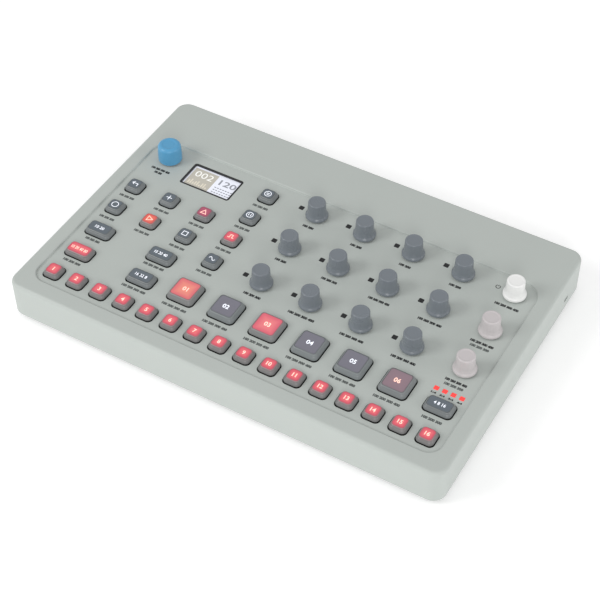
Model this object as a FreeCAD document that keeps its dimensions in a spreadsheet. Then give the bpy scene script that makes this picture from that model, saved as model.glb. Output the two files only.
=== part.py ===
"""Desktop drum machine as separate pieces, in millimetres.

The frame has +Z up, +X to the player's right and +Y towards the sockets.
Its origin lies under the middle of the case, on the surface that the feet stand on.
Every size comes from the sheet of driving dimensions.
"""
import FreeCAD
import Part
import Sketcher
import math
import os

SIZES = (
    # Case
    ("case_width", 270.0, "left to right"),
    ("case_depth", 180.0, "front to rear"),
    ("case_bottom", 3.3, "level of the lower edge of the walls"),
    ("case_top", 26.5, "level of the rim round the panel"),
    ("case_corner", 7.7, "corner radius seen from above"),
    ("case_edge", 2.0, "rounding of the upper edge"),
    ("case_foot_edge", 0.8, "rounding of the lower edge"),
    ("past", 1.0, "how far a cut reaches past the face it opens"),
    ("sink", 0.5, "how far a joined piece reaches into its neighbour"),
    ("wall", 2.5, "wall thickness"),
    ("panel_level", 25.3, "level of the sunk control panel"),
    ("panel_thick", 2.5, "thickness of the control panel"),
    ("recess_left", -126.06, "left side of the sunk panel"),
    ("recess_right", 125.9, "right side of the sunk panel"),
    ("recess_front", -79.36, "front side of the sunk panel"),
    ("recess_rear", 53.84, "rear side of the sunk panel"),
    ("recess_corner", 8.0, "front corner radii of the sunk panel"),
    ("recess_rear_corner", 12.8, "rear corner radii of the sunk panel"),
    ("recess_edge", 0.9, "rounding of the rim round the panel"),
    ("recess_foot", 0.45, "hollow where the panel meets the rim"),
    ("boss_radius", 3.0, "post for a case screw"),
    ("boss_side_x", 127.0, "posts in the side walls"),
    ("boss_front_y", 80.5, "posts next to the front wall"),
    ("boss_rear_y", 81.5, "posts next to the rear wall"),
    ("post_radius", 2.6, "post for a board screw"),
    ("boss_middle_y", 82.0, "post in the middle next to the front wall"),
    ("post_gap", 0.1, "gap between the base plate and the posts"),
    # Base cover
    ("base_bottom", 3.0, "level of the underside"),
    ("base_top", 5.4, "level of the inside of the plate"),
    ("base_gap", 0.3, "gap between the plate and the walls"),
    ("base_edge", 1.1, "rounding of the underside"),
    ("rib_top", 7.0, "level of the ribs' tops"),
    ("rib_thick", 1.4, "rib thickness"),
    ("rib_space", 48.0, "distance from rib to rib"),
    ("rib_long", 148.0, "length of the ribs from front to rear"),
    ("rib_wide", 232.0, "length of the ribs from left to right"),
    ("rib_side", 46.0, "long ribs, in front of and behind the middle"),
    ("rib_corner", 0.4, "rounding of the ribs' ends"),
    ("head_sink_radius", 2.9, "sunk hole for a screw's head"),
    ("head_sink_depth", 1.3, "depth of that hole"),
    ("screw_way_radius", 1.5, "hole for a screw's shank"),
    # Feet
    ("foot_radius", 6.6, "rubber foot"),
    ("foot_x", 113.0, "feet, left and right of the middle"),
    ("foot_y", 70.0, "feet, in front of and behind the middle"),
    ("foot_edge", 0.9, "rounding of the foot"),
    # Screws
    ("screw_radius", 1.25, "shank"),
    ("screw_gap", 0.05, "gap between the shank and its hole"),
    ("screw_bite", 9.0, "length of the shank in its post"),
    ("board_screw_bite", 6.0, "length of a board screw's shank in its post"),
    ("head_sunk", 0.2, "head above the underside of the base"),
    ("socket_floor", 0.1, "metal left between the socket and the shank"),
    ("head_radius", 2.5, "head"),
    ("head_thick", 1.0, "head"),
    ("slot_radius", 1.1, "round socket in the head"),
    ("slot_deep", 0.6, "depth of that socket"),
    # Keys
    ("key_gap", 0.6, "gap between a key and its hole"),
    ("key_corner", 2.6, "corner radius of a key"),
    ("key_skirt", 0.9, "straight part above the panel"),
    ("key_height", 3.4, "top of a key above the panel"),
    ("pad_height", 3.7, "top of a track pad above the panel"),
    ("key_lean", 0.85, "how far each side leans in"),
    ("key_edge", 1.1, "rounding of the top edge"),
    ("key_crown_inset", 0.4, "how much smaller the corner radius is at the top"),
    ("key_lip", 1.0, "flange that keeps a key in its hole"),
    ("key_lip_thick", 1.0, "flange thickness"),
    ("key_lip_gap", 0.15, "flange below the panel at rest"),
    ("key_travel", 1.2, "stroke of a key"),
    ("key_stop_gap", 0.1, "gap left above the switch at the end of the stroke"),
    ("stem_radius", 1.7, "stem that works the switch"),
    ("hole_small", 11.2, "square key hole"),
    ("hole_wide", 17.4, "long side of a wide key hole"),
    ("hole_pad", 17.6, "track pad hole"),
    ("step_first_x", -116.57, "first step key"),
    ("step_pitch", 15.54, "step key to step key"),
    ("step_y", -70.01, "row of step keys"),
    ("pad_first_x", -44.15, "first track pad"),
    ("pad_pitch", 26.27, "pad to pad"),
    ("pad_y", -46.81, "row of track pads"),
    ("square_first_x", -116.52, "first column of square keys"),
    ("square_pitch_x", 24.11, "column to column"),
    ("square_pitch_y", 20.29, "row to row"),
    ("square_left_y", 9.94, "upper row in the first three columns"),
    ("square_right_y", 41.18, "upper row in the fourth column"),
    ("wide_first_x", -113.11, "first column of wide keys"),
    ("wide_pitch_x", 41.89, "column to column"),
    ("wide_first_y", -30.54, "upper row of wide keys"),
    ("wide_pitch_y", 19.69, "row to row"),
    ("page_x", 113.31, "wide key at the right"),
    ("page_y", -49.72, "wide key at the right"),
    # Knobs, heights above the panel
    ("knob_first_x", -11.65, "first column of knobs"),
    ("knob_pitch_x", 31.22, "column to column"),
    ("knob_first_y", 41.74, "upper row of knobs"),
    ("knob_pitch_y", 30.94, "row to row"),
    ("knob_bottom", 0.9, "underside of the skirt"),
    ("knob_skirt_radius", 6.65, "skirt"),
    ("knob_skirt_top", 2.1, "top of the skirt's straight part"),
    ("knob_waist_radius", 5.4, "end of the flare"),
    ("knob_waist", 4.9, "end of the flare"),
    ("knob_top_radius", 5.05, "top"),
    ("knob_top", 11.9, "top"),
    ("knob_top_edge", 0.8, "rounding of the top edge"),
    ("knob_dish_radius", 3.9, "shallow dish in the top"),
    ("knob_dish_deep", 0.2, "shallow dish in the top"),
    ("knob_skirt_edge", 0.7, "rounding of the skirt"),
    ("knob_flare_round", 3.0, "hollow above the skirt"),
    ("knob_skirt_wall", 1.2, "wall of the hollow skirt"),
    ("knob_hollow", 0.6, "slope of the hollow under the skirt"),
    ("knob_dish_slope", 0.4, "slope round the dish"),
    ("knob_bore_top", 9.8, "end of the shaft's hole"),
    ("dial_x", -112.2, "large knob at the left"),
    ("dial_y", 40.8, "large knob at the left"),
    ("dial_radius", 7.1, "large knob, lower part"),
    ("dial_waist", 5.5, "large knob, where it begins to taper"),
    ("dial_top_radius", 6.8, "large knob, top"),
    ("dial_top", 12.5, "large knob, top"),
    ("dial_top_edge", 2.2, "large knob, rounding of the top edge"),
    ("dial_dish_radius", 4.4, "large knob, dish in the top"),
    ("dial_dish_deep", 0.3, "large knob, dish in the top"),
    ("dial_dish_slope", 0.6, "large knob, slope round the dish"),
    ("dial_bore_top", 10.0, "large knob, end of the shaft's hole"),
    ("dial_travel", 0.6, "push stroke of the large knob"),
    ("shaft_radius", 3.0, "control shafts"),
    ("shaft_gap", 0.05, "gap round a shaft"),
    ("shaft_bottom", 17.0, "lower end of the shafts"),
    ("shaft_end_gap", 0.3, "gap below a shaft at the end of its stroke"),
    ("shaft_way_radius", 3.8, "hole for a shaft in the panel"),
    # Windows
    ("screen_left", -97.24, "display window"),
    ("screen_right", -63.28, "display window"),
    ("screen_front", 26.92, "display window"),
    ("screen_rear", 46.01, "display window"),
    ("screen_corner", 1.6, "display window"),
    ("screen_thick", 1.5, "display window"),
    ("seat_gap", 0.05, "gap under the display window"),
    ("screen_ledge", 1.8, "ledge that carries the window"),
    ("window_gap", 0.1, "gap round a window"),
    ("lamp_dx", -11.35, "knob lamp from its knob"),
    ("lamp_dy", 2.0, "knob lamp from its knob"),
    ("lamp_size", 2.9, "knob lamp"),
    ("lamp_corner", 0.5, "knob lamp"),
    ("page_lamp_x", 105.87, "first page lamp"),
    ("page_lamp_pitch", 4.95, "page lamp to page lamp"),
    ("page_lamp_y", -38.42, "row of page lamps"),
    ("page_lamp_size", 2.7, "page lamp"),
    # Boards
    ("board_bottom", 12.4, "control board"),
    ("board_top", 14.0, "control board"),
    ("board_half_width", 123.0, "control board"),
    ("board_front", -77.0, "control board"),
    ("board_rear", 50.0, "control board"),
    ("solder_gap", 0.05, "gap between a board and what is soldered on it"),
    ("board_corner", 2.0, "corner radius of the boards"),
    ("post_room", 1.2, "gap round the post that passes a board"),
    ("link_x", -30.0, "link between the boards"),
    ("link_width", 42.0, "link between the boards"),
    ("link_depth", 14.0, "link between the boards"),
    ("box_corner", 0.5, "corner radius of what stands on the boards"),
    ("switch_size", 6.0, "key switch"),
    ("switch_corner", 0.4, "key switch"),
    ("switch_top", 17.5, "key switch"),
    ("pot_size", 10.4, "rotary control"),
    ("pot_corner", 0.6, "rotary control"),
    ("pot_top", 21.2, "rotary control"),
    ("dial_size", 12.4, "encoder under the large knob"),
    ("display_top", 23.2, "display module"),
    ("display_inset", 2.1, "display module, inside the edge of its window"),
    ("socket_board_bottom", 7.4, "socket board"),
    ("socket_board_top", 9.0, "socket board"),
    ("socket_board_half_width", 121.0, "socket board"),
    ("socket_board_front", 54.0, "socket board"),
    ("socket_board_rear", 86.5, "socket board"),
    # Sockets, seen from above, all on one height
    ("socket_level", 15.3, "height of the socket axes"),
    ("socket_front", 89.7, "outer faces of the sockets"),
    ("socket_shoulder", 87.2, "front of the socket bodies"),
    ("socket_gap", 0.2, "gap between a socket and the rear wall"),
    ("jack_top_share", 0.42, "top of a socket above its axis, as a share of its width"),
    ("large_jack_bore", 3.2, "6.35 mm jack"),
    ("large_jack_nose", 5.0, "6.35 mm jack"),
    ("large_jack_width", 14.6, "6.35 mm jack"),
    ("large_jack_rear", 56.0, "6.35 mm jack"),
    ("large_jack_depth", 30.0, "6.35 mm jack"),
    ("large_jack_left_x", 62.0, "left output"),
    ("large_jack_right_x", 84.0, "right output"),
    ("small_jack_bore", 1.8, "3.5 mm jack"),
    ("small_jack_nose", 3.4, "3.5 mm jack"),
    ("small_jack_width", 9.6, "3.5 mm jack"),
    ("small_jack_rear", 71.0, "3.5 mm jack"),
    ("small_jack_depth", 14.0, "3.5 mm jack"),
    ("headphone_x", 106.0, "headphone socket"),
    ("data_out_x", 38.0, "data output"),
    ("data_in_x", 20.0, "data input"),
    ("power_x", -86.0, "power inlet"),
    ("power_bore", 3.2, "power inlet"),
    ("power_pin", 1.0, "power inlet"),
    ("power_nose", 4.6, "power inlet"),
    ("power_width", 11.0, "power inlet"),
    ("power_rear", 73.0, "power inlet"),
    ("power_depth", 9.5, "power inlet"),
    ("usb_x", -62.0, "computer socket"),
    ("usb_width", 8.0, "computer socket, shell"),
    ("usb_height", 3.2, "computer socket, shell"),
    ("usb_corner", 0.7, "computer socket, shell"),
    ("usb_mouth_width", 7.2, "computer socket, opening"),
    ("usb_mouth_height", 2.3, "computer socket, opening"),
    ("usb_mouth_corner", 0.4, "computer socket, opening"),
    ("usb_tongue", 0.8, "computer socket, tongue"),
    ("usb_tongue_side", 1.0, "computer socket, room beside the tongue"),
    ("usb_tongue_back", 0.6, "computer socket, tongue behind the face"),
    ("usb_tongue_corner", 0.2, "computer socket, tongue"),
    ("usb_rear", 78.0, "computer socket"),
    ("usb_depth", 5.0, "computer socket"),
    ("lock_y", 66.5, "lock slot in the right wall"),
    ("lock_level", 11.0, "lock slot in the right wall"),
    ("lock_long", 5.0, "lock slot"),
    ("lock_tall", 2.4, "lock slot"),
    ("lock_corner", 1.1, "lock slot"),
)

KEY_KINDS = {
    "small": ("Sizes.hole_small", "Sizes.hole_small", "Sizes.key_height"),
    "wide": ("Sizes.hole_wide", "Sizes.hole_small", "Sizes.key_height"),
    "pad": ("Sizes.hole_pad", "Sizes.hole_pad", "Sizes.pad_height"),
}
STEP_KEYS = 16
TRACK_PADS = 6
PAGE_LAMPS = 4
KNOB_COLUMNS = 4
KNOB_ROWS = 3
RIBS = 5
SQUARE_LEFT_KEYS = (
    ("back_key", "save_key", "tempo_key"),
    ("record_key", "play_key", "stop_key"),
)
SQUARE_RIGHT_KEYS = ("preset_key", "quantize_key", "click_key", "lfo_key")
WIDE_KEYS = (("function_key", "retrig_key"), ("pattern_key", "track_key"))
KNOBS = (
    ("pitch_knob", "decay_knob", "color_knob", "shape_knob", "main_volume_knob"),
    ("sweep_knob", "contour_knob", "delay_send_knob", "reverb_send_knob", "reverb_size_knob"),
    ("lfo_speed_knob", "volume_distortion_knob", "swing_knob", "chance_knob", "delay_time_knob"),
)
LARGE_JACKS = ("Sizes.large_jack_left_x", "Sizes.large_jack_right_x")
SMALL_JACKS = ("Sizes.headphone_x", "Sizes.data_out_x", "Sizes.data_in_x")
CASE_SCREW_PLACES = (
    ("-Sizes.boss_side_x", "-Sizes.boss_front_y"),
    ("Sizes.boss_side_x", "-Sizes.boss_front_y"),
    ("-Sizes.boss_side_x", "0"),
    ("Sizes.boss_side_x", "0"),
    ("-Sizes.boss_side_x", "Sizes.boss_rear_y"),
    ("Sizes.boss_side_x", "Sizes.boss_rear_y"),
    ("0", "-Sizes.boss_middle_y"),
    ("0", "Sizes.boss_rear_y"),
)
BOARD_SCREW_PLACES = (
    ("Sizes.square_first_x + Sizes.square_pitch_x/2", "Sizes.square_left_y - Sizes.square_pitch_y/2"),
    ("Sizes.square_first_x + 2.5*Sizes.square_pitch_x", "Sizes.square_left_y - Sizes.square_pitch_y/2"),
    ("Sizes.knob_first_x + Sizes.knob_pitch_x/2", "Sizes.knob_first_y - Sizes.knob_pitch_y/2"),
    ("Sizes.knob_first_x + 2.5*Sizes.knob_pitch_x", "Sizes.knob_first_y - Sizes.knob_pitch_y/2"),
    ("Sizes.knob_first_x + 3.5*Sizes.knob_pitch_x", "Sizes.knob_first_y - 1.5*Sizes.knob_pitch_y"),
)

doc = FreeCAD.newDocument("DrumMachine")
sheet = doc.addObject("Spreadsheet::Sheet", "Sizes")
sub_parts = []


def fill_sheet():
    """Write each driving dimension, its alias and a note into the sheet."""
    for row, (alias, number, note) in enumerate(SIZES, start=1):
        sheet.set(f"A{row}", alias)
        sheet.set(f"B{row}", str(number))
        sheet.setAlias(f"B{row}", alias)
        sheet.set(f"C{row}", note)
    doc.recompute()


def number(expression):
    """Return the value of an expression that reads the sheet."""
    return float(sheet.evalExpression(expression))


def new_body(label):
    """Start a body, which may hold several solids."""
    body = doc.addObject("PartDesign::Body", label)
    body.Label = label
    body.AllowCompound = True
    return body


def new_sub_part(label, x="0", y="0", z="0"):
    """Start a body that is a sub-part, with its own origin at a given place."""
    body = new_body(label)
    body.setExpression("Placement.Base.x", x)
    body.setExpression("Placement.Base.y", y)
    body.setExpression("Placement.Base.z", z)
    sub_parts.append(body)
    return body


def origin_plane(body, role):
    """Find one of the body's own origin planes."""
    for feature in body.Origin.OriginFeatures:
        if feature.Role == role:
            return feature
    raise ValueError(f"{body.Label} has no {role}")


def new_sketch(body, name, plane, offset):
    """Start a sketch on an origin plane, moved along the plane's normal."""
    sketch = body.newObject("Sketcher::SketchObject", name)
    sketch.AttachmentSupport = [(origin_plane(body, plane), "")]
    sketch.MapMode = "FlatFace"
    sketch.setExpression("AttachmentOffset.Base.z", offset)
    return sketch


def driven(kind, name, *places):
    """Make a named dimension, which the sketch then binds to the sheet."""
    constraint = Sketcher.Constraint(kind, *places)
    constraint.Name = name
    return constraint


def draw(sketch, shapes):
    """Add shapes to a sketch: each gives its geometry, its constraints and its bound dimensions."""
    geometry = []
    constraints = []
    bindings = []
    for shape in shapes:
        lines, rules, bound = shape(len(geometry))
        geometry += lines
        constraints += rules
        for kind, name, places, expression in bound:
            constraints.append(driven(kind, name, *places, number(expression)))
            bindings.append((name, expression))
    sketch.addGeometry(geometry, False)
    sketch.addConstraint(constraints)
    for name, expression in bindings:
        sketch.setExpression(f"Constraints.{name}", expression)


def circle(x, y, radius):
    """Plan a circle whose centre and radius are bound to the sheet."""
    def plan(first):
        centre = FreeCAD.Vector(number(x), number(y), 0)
        ring = Part.Circle(centre, FreeCAD.Vector(0, 0, 1), number(radius))
        bound = [
            ("DistanceX", f"x{first}", (-1, 1, first, 3), x),
            ("DistanceY", f"y{first}", (-1, 1, first, 3), y),
            ("Radius", f"radius{first}", (first,), radius),
        ]
        return [ring], [], bound

    return plan


def rounded_rectangle(x, y, width, depth, radius, upper_radius=None):
    """Plan a rectangle with round corners, centred on a point of the sketch.

    The two upper corners have a radius of their own where one is given.
    """
    def plan(first):
        r = number(radius)
        u = number(upper_radius or radius)
        left, right = number(f"{x} - ({width})/2"), number(f"{x} + ({width})/2")
        low, high = number(f"{y} - ({depth})/2"), number(f"{y} + ({depth})/2")
        sides = (
            ((left + r, low), (right - r, low)),
            ((right, low + r), (right, high - u)),
            ((right - u, high), (left + u, high)),
            ((left, high - u), (left, low + r)),
        )
        corners = (
            (right - r, low + r, r),
            (right - u, high - u, u),
            (left + u, high - u, u),
            (left + r, low + r, r),
        )
        lines = [Part.LineSegment(FreeCAD.Vector(*start, 0), FreeCAD.Vector(*end, 0))
                 for start, end in sides]
        arcs = []
        for quarter, (centre_x, centre_y, corner) in enumerate(corners):
            ring = Part.Circle(FreeCAD.Vector(centre_x, centre_y, 0), FreeCAD.Vector(0, 0, 1), corner)
            begin = (quarter - 1) * math.pi / 2
            arcs.append(Part.ArcOfCircle(ring, begin, begin + math.pi / 2))
        rules = []
        for quarter in range(4):
            line, arc, following = first + quarter, first + 4 + quarter, first + (quarter + 1) % 4
            rules.append(Sketcher.Constraint("Tangent", line, 2, arc, 1))
            rules.append(Sketcher.Constraint("Tangent", arc, 2, following, 1))
            rules.append(Sketcher.Constraint("Horizontal" if quarter % 2 == 0 else "Vertical", line))
        arcs_at = first + len(lines)
        rules.append(Sketcher.Constraint("Equal", arcs_at, arcs_at + 3))
        rules.append(Sketcher.Constraint("Equal", arcs_at + 1, arcs_at + 2))
        bottom, right_side, top, left_side = first, first + 1, first + 2, first + 3
        bound = [
            ("DistanceX", f"width{first}", (left_side, 1, right_side, 1), width),
            ("DistanceY", f"depth{first}", (bottom, 1, top, 1), depth),
            ("Radius", f"corner{first}", (arcs_at,), radius),
            ("Radius", f"upper{first}", (arcs_at + 1,), upper_radius or radius),
            ("DistanceX", f"left{first}", (-1, 1, left_side, 1), f"{x} - ({width})/2"),
            ("DistanceY", f"low{first}", (-1, 1, bottom, 1), f"{y} - ({depth})/2"),
        ]
        return lines + arcs, rules, bound

    return plan


def extrude(body, sketch, name, length, cut):
    """Pad a sketch along its normal, or cut it against its normal."""
    kind = "PartDesign::Pocket" if cut else "PartDesign::Pad"
    before = 0.0 if body.Shape.isNull() else body.Shape.Volume
    feature = body.newObject(kind, name)
    feature.Profile = sketch
    feature.Type = "Length"
    feature.Refine = False
    feature.setExpression("Length", length)
    doc.recompute()
    change = body.Shape.Volume - before
    if (change < 0) != cut:
        raise ValueError(f"{body.Label}.{name} changed the volume by {change:.2f}")
    return feature


def upright(body, name, low, high, shapes, cut=False):
    """Add or cut upright pieces between two levels, one for each shape of the sketch."""
    sketch = new_sketch(body, f"{name}Outline", "XY_Plane", high if cut else low)
    draw(sketch, shapes)
    return extrude(body, sketch, name, f"{high} - ({low})", cut)


def block(body, name, low, high, x, y, width, depth, radius, cut=False):
    """Add or cut one upright block with round corners."""
    return upright(body, name, low, high, [rounded_rectangle(x, y, width, depth, radius)], cut)


def columns(body, name, low, high, places, radius, cut=False):
    """Add or cut upright round columns at several places."""
    return upright(body, name, low, high, [circle(x, y, radius) for x, y in places], cut)


def along_y(body, name, front, rear, shapes, cut=False):
    """Add or cut pieces that lie along Y, one for each shape of the sketch."""
    sketch = new_sketch(body, f"{name}Outline", "XZ_Plane", f"-({front})" if cut else f"-({rear})")
    draw(sketch, shapes)
    return extrude(body, sketch, name, f"{rear} - ({front})", cut)


def round_edges(body, name, radius, wanted):
    """Round every edge of the body's last feature that passes a test."""
    base = body.Tip
    chosen = [f"Edge{i}" for i, edge in enumerate(base.Shape.Edges, start=1) if wanted(edge)]
    if not chosen:
        raise ValueError(f"{body.Label}.{name} found no edge")
    fillet = body.newObject("PartDesign::Fillet", name)
    fillet.Base = (base, chosen)
    fillet.Refine = False
    fillet.setExpression("Radius", radius)
    doc.recompute()
    return fillet


def edge_at(level, inside=None):
    """Make a test for edges that lie flat at one level, and within a box if one is given."""
    height = number(level)

    def wanted(edge):
        box = edge.BoundBox
        if abs(box.ZMin - height) > 0.01 or abs(box.ZMax - height) > 0.01:
            return False
        if inside is None:
            return True
        left, right, front, rear = inside
        return left < box.XMin and box.XMax < right and front < box.YMin and box.YMax < rear

    return wanted


def knob_place(row, column):
    """Return where a small knob stands."""
    x = f"Sizes.knob_first_x + {column}*Sizes.knob_pitch_x"
    y = f"Sizes.knob_first_y - {row}*Sizes.knob_pitch_y"
    return x, y


def knob_places():
    """Return the places of the fifteen small knobs."""
    return [knob_place(row, column) for row in range(KNOB_ROWS) for column in range(KNOB_COLUMNS + 1)]


def key_places():
    """Return every key: its name, its kind and where it stands."""
    keys = []
    for index in range(STEP_KEYS):
        x = f"Sizes.step_first_x + {index}*Sizes.step_pitch"
        keys.append((f"step_key_{index + 1:02d}", "small", x, "Sizes.step_y"))
    for index in range(TRACK_PADS):
        x = f"Sizes.pad_first_x + {index}*Sizes.pad_pitch"
        keys.append((f"track_pad_{index + 1}", "pad", x, "Sizes.pad_y"))
    for row, names in enumerate(SQUARE_LEFT_KEYS):
        for column, name in enumerate(names):
            x = f"Sizes.square_first_x + {column}*Sizes.square_pitch_x"
            keys.append((name, "small", x, f"Sizes.square_left_y - {row}*Sizes.square_pitch_y"))
    for row, name in enumerate(SQUARE_RIGHT_KEYS):
        x = "Sizes.square_first_x + 3*Sizes.square_pitch_x"
        keys.append((name, "small", x, f"Sizes.square_right_y - {row}*Sizes.square_pitch_y"))
    for row, names in enumerate(WIDE_KEYS):
        for column, name in enumerate(names):
            x = f"Sizes.wide_first_x + {column}*Sizes.wide_pitch_x"
            keys.append((name, "wide", x, f"Sizes.wide_first_y - {row}*Sizes.wide_pitch_y"))
    keys.append(("page_key", "wide", "Sizes.page_x", "Sizes.page_y"))
    return keys


def lamp_places():
    """Return where the knob lamps and the page lamps lie, each list of its own size."""
    knob_lamps = []
    for row in range(KNOB_ROWS):
        for column in range(KNOB_COLUMNS):
            x, y = knob_place(row, column)
            knob_lamps.append((f"{x} + Sizes.lamp_dx", f"{y} + Sizes.lamp_dy"))
    page_lamps = [(f"Sizes.page_lamp_x + {index}*Sizes.page_lamp_pitch", "Sizes.page_lamp_y")
                  for index in range(PAGE_LAMPS)]
    return {"knob_lamp": (knob_lamps, "Sizes.lamp_size"), "page_lamp": (page_lamps, "Sizes.page_lamp_size")}


def copy_of(pattern, label, x, y="0", z="0"):
    """Place one more piece of a pattern body."""
    piece = doc.addObject("Part::Compound", label)
    piece.Label = label
    piece.Links = [pattern]
    piece.setExpression("Placement.Base.x", x)
    piece.setExpression("Placement.Base.y", y)
    piece.setExpression("Placement.Base.z", z)
    return piece


def group_of(label, pieces):
    """Join separate solids in one group."""
    group = doc.addObject("Part::Compound", label)
    group.Label = label
    group.Links = pieces
    return group


def lamp_pieces(name, low, high, grow):
    """Make a square block for every lamp, in local heights below and above the panel."""
    pieces = []
    for kind, (places, side) in lamp_places().items():
        pattern = new_body(f"{name}_{kind}")
        width = f"{side} + {grow}"
        block(pattern, "Block", low, high, "0", "0", width, width, "Sizes.lamp_corner")
        pieces += [copy_of(pattern, f"{name}_{kind}_{index}", x, y, "Sizes.panel_level")
                   for index, (x, y) in enumerate(places)]
    return pieces


def panel_openings():
    """Make the solids that are cut out of the panel: key holes, shaft holes and lamp holes."""
    low, high = "-Sizes.panel_thick - Sizes.sink", "Sizes.sink"
    level = "Sizes.panel_level"
    patterns = {}
    for kind, (long_side, short_side, _) in KEY_KINDS.items():
        patterns[kind] = new_body(f"KeyHole{kind.title()}")
        block(patterns[kind], "Block", low, high, "0", "0", long_side, short_side,
              "Sizes.key_corner + Sizes.key_gap/2")
    openings = [copy_of(patterns[kind], f"{name}_hole", x, y, level) for name, kind, x, y in key_places()]
    shaft_hole = new_body("ShaftHole")
    columns(shaft_hole, "Column", low, high, (("0", "0"),), "Sizes.shaft_way_radius")
    places = knob_places() + [("Sizes.dial_x", "Sizes.dial_y")]
    openings += [copy_of(shaft_hole, f"shaft_hole_{index}", x, y, level)
                 for index, (x, y) in enumerate(places)]
    return openings + lamp_pieces("hole", low, high, "2*Sizes.window_gap")


def cut_screen_opening(body):
    """Cut the sunk seat and the opening for the display window."""
    x = "(Sizes.screen_left + Sizes.screen_right)/2"
    y = "(Sizes.screen_front + Sizes.screen_rear)/2"
    width = "Sizes.screen_right - Sizes.screen_left"
    depth = "Sizes.screen_rear - Sizes.screen_front"
    seat = "Sizes.panel_level - Sizes.screen_thick - Sizes.seat_gap"
    block(body, "ScreenSeat", seat, "Sizes.panel_level", x, y, width, depth, "Sizes.screen_corner", True)
    ledge = "2*Sizes.screen_ledge"
    block(body, "ScreenOpening", "Sizes.panel_level - Sizes.panel_thick - Sizes.past", seat, x, y,
          f"{width} - {ledge}", f"{depth} - {ledge}", "Sizes.screen_corner/2", True)


def cut_rear_wall(body):
    """Cut the holes for the sockets in the rear wall."""
    level = "Sizes.socket_level"
    holes = []
    for places, nose in ((LARGE_JACKS, "large_jack_nose"), (SMALL_JACKS, "small_jack_nose"),
                         (("Sizes.power_x",), "power_nose")):
        holes += [circle(x, level, f"Sizes.{nose} + Sizes.socket_gap") for x in places]
    gap = "2*Sizes.socket_gap"
    holes.append(rounded_rectangle("Sizes.usb_x", level, f"Sizes.usb_width + {gap}",
                                   f"Sizes.usb_height + {gap}", "Sizes.usb_corner"))
    along_y(body, "SocketHoles", "Sizes.case_depth/2 - Sizes.wall - 2*Sizes.past",
            "Sizes.case_depth/2 + Sizes.past", holes, True)


def cut_lock_slot(body):
    """Cut the slot for a lock cable in the right wall."""
    sketch = new_sketch(body, "LockSlotOutline", "YZ_Plane", "Sizes.case_width/2 + Sizes.past")
    draw(sketch, [rounded_rectangle("Sizes.lock_y", "Sizes.lock_level", "Sizes.lock_long",
                                    "Sizes.lock_tall", "Sizes.lock_corner")])
    extrude(body, sketch, "LockSlot", "Sizes.wall + 3*Sizes.past", True)


def near_recess():
    """Return the box just outside the sunk panel: left, right, front and rear."""
    left, right = number("Sizes.recess_left - Sizes.past"), number("Sizes.recess_right + Sizes.past")
    front, rear = number("Sizes.recess_front - Sizes.past"), number("Sizes.recess_rear + Sizes.past")
    return left, right, front, rear


def make_top_case():
    """Build the upper shell with its sunk panel, openings, posts and socket holes."""
    body = new_body("UpperShell")
    block(body, "Shell", "Sizes.case_bottom", "Sizes.case_top", "0", "0",
          "Sizes.case_width", "Sizes.case_depth", "Sizes.case_corner")
    round_edges(body, "UpperEdge", "Sizes.case_edge", edge_at("Sizes.case_top"))
    round_edges(body, "LowerEdge", "Sizes.case_foot_edge", edge_at("Sizes.case_bottom"))
    under_panel = "Sizes.panel_level - Sizes.panel_thick"
    block(body, "Hollow", "Sizes.case_bottom - Sizes.past", under_panel, "0", "0",
          "Sizes.case_width - 2*Sizes.wall", "Sizes.case_depth - 2*Sizes.wall",
          "Sizes.case_corner - Sizes.wall", True)
    recess = rounded_rectangle("(Sizes.recess_left + Sizes.recess_right)/2",
                               "(Sizes.recess_front + Sizes.recess_rear)/2",
                               "Sizes.recess_right - Sizes.recess_left",
                               "Sizes.recess_rear - Sizes.recess_front",
                               "Sizes.recess_corner", "Sizes.recess_rear_corner")
    upright(body, "Recess", "Sizes.panel_level", "Sizes.case_top", [recess], True)
    round_edges(body, "RimEdge", "Sizes.recess_edge", edge_at("Sizes.case_top", near_recess()))
    round_edges(body, "RimFoot", "Sizes.recess_foot", edge_at("Sizes.panel_level"))
    cut_lock_slot(body)
    cut_rear_wall(body)
    cut_screen_opening(body)
    columns(body, "CasePosts", "Sizes.base_top + Sizes.post_gap", f"{under_panel} + Sizes.sink",
            CASE_SCREW_PLACES, "Sizes.boss_radius")
    columns(body, "BoardPosts", "Sizes.board_top", f"{under_panel} + Sizes.sink",
            BOARD_SCREW_PLACES, "Sizes.post_radius")
    pilot = "Sizes.screw_radius + Sizes.screw_gap"
    columns(body, "CaseScrewHoles", "Sizes.case_bottom - Sizes.past",
            "Sizes.base_top + Sizes.screw_bite + Sizes.sink", CASE_SCREW_PLACES, pilot, True)
    columns(body, "BoardScrewHoles", "Sizes.board_top - Sizes.past",
            "Sizes.board_top + Sizes.board_screw_bite + Sizes.sink", BOARD_SCREW_PLACES, pilot, True)
    case = doc.addObject("Part::Cut", "top_case")
    case.Label = "top_case"
    case.Base = body
    case.Tool = group_of("PanelOpenings", panel_openings())
    sub_parts.append(case)


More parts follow.
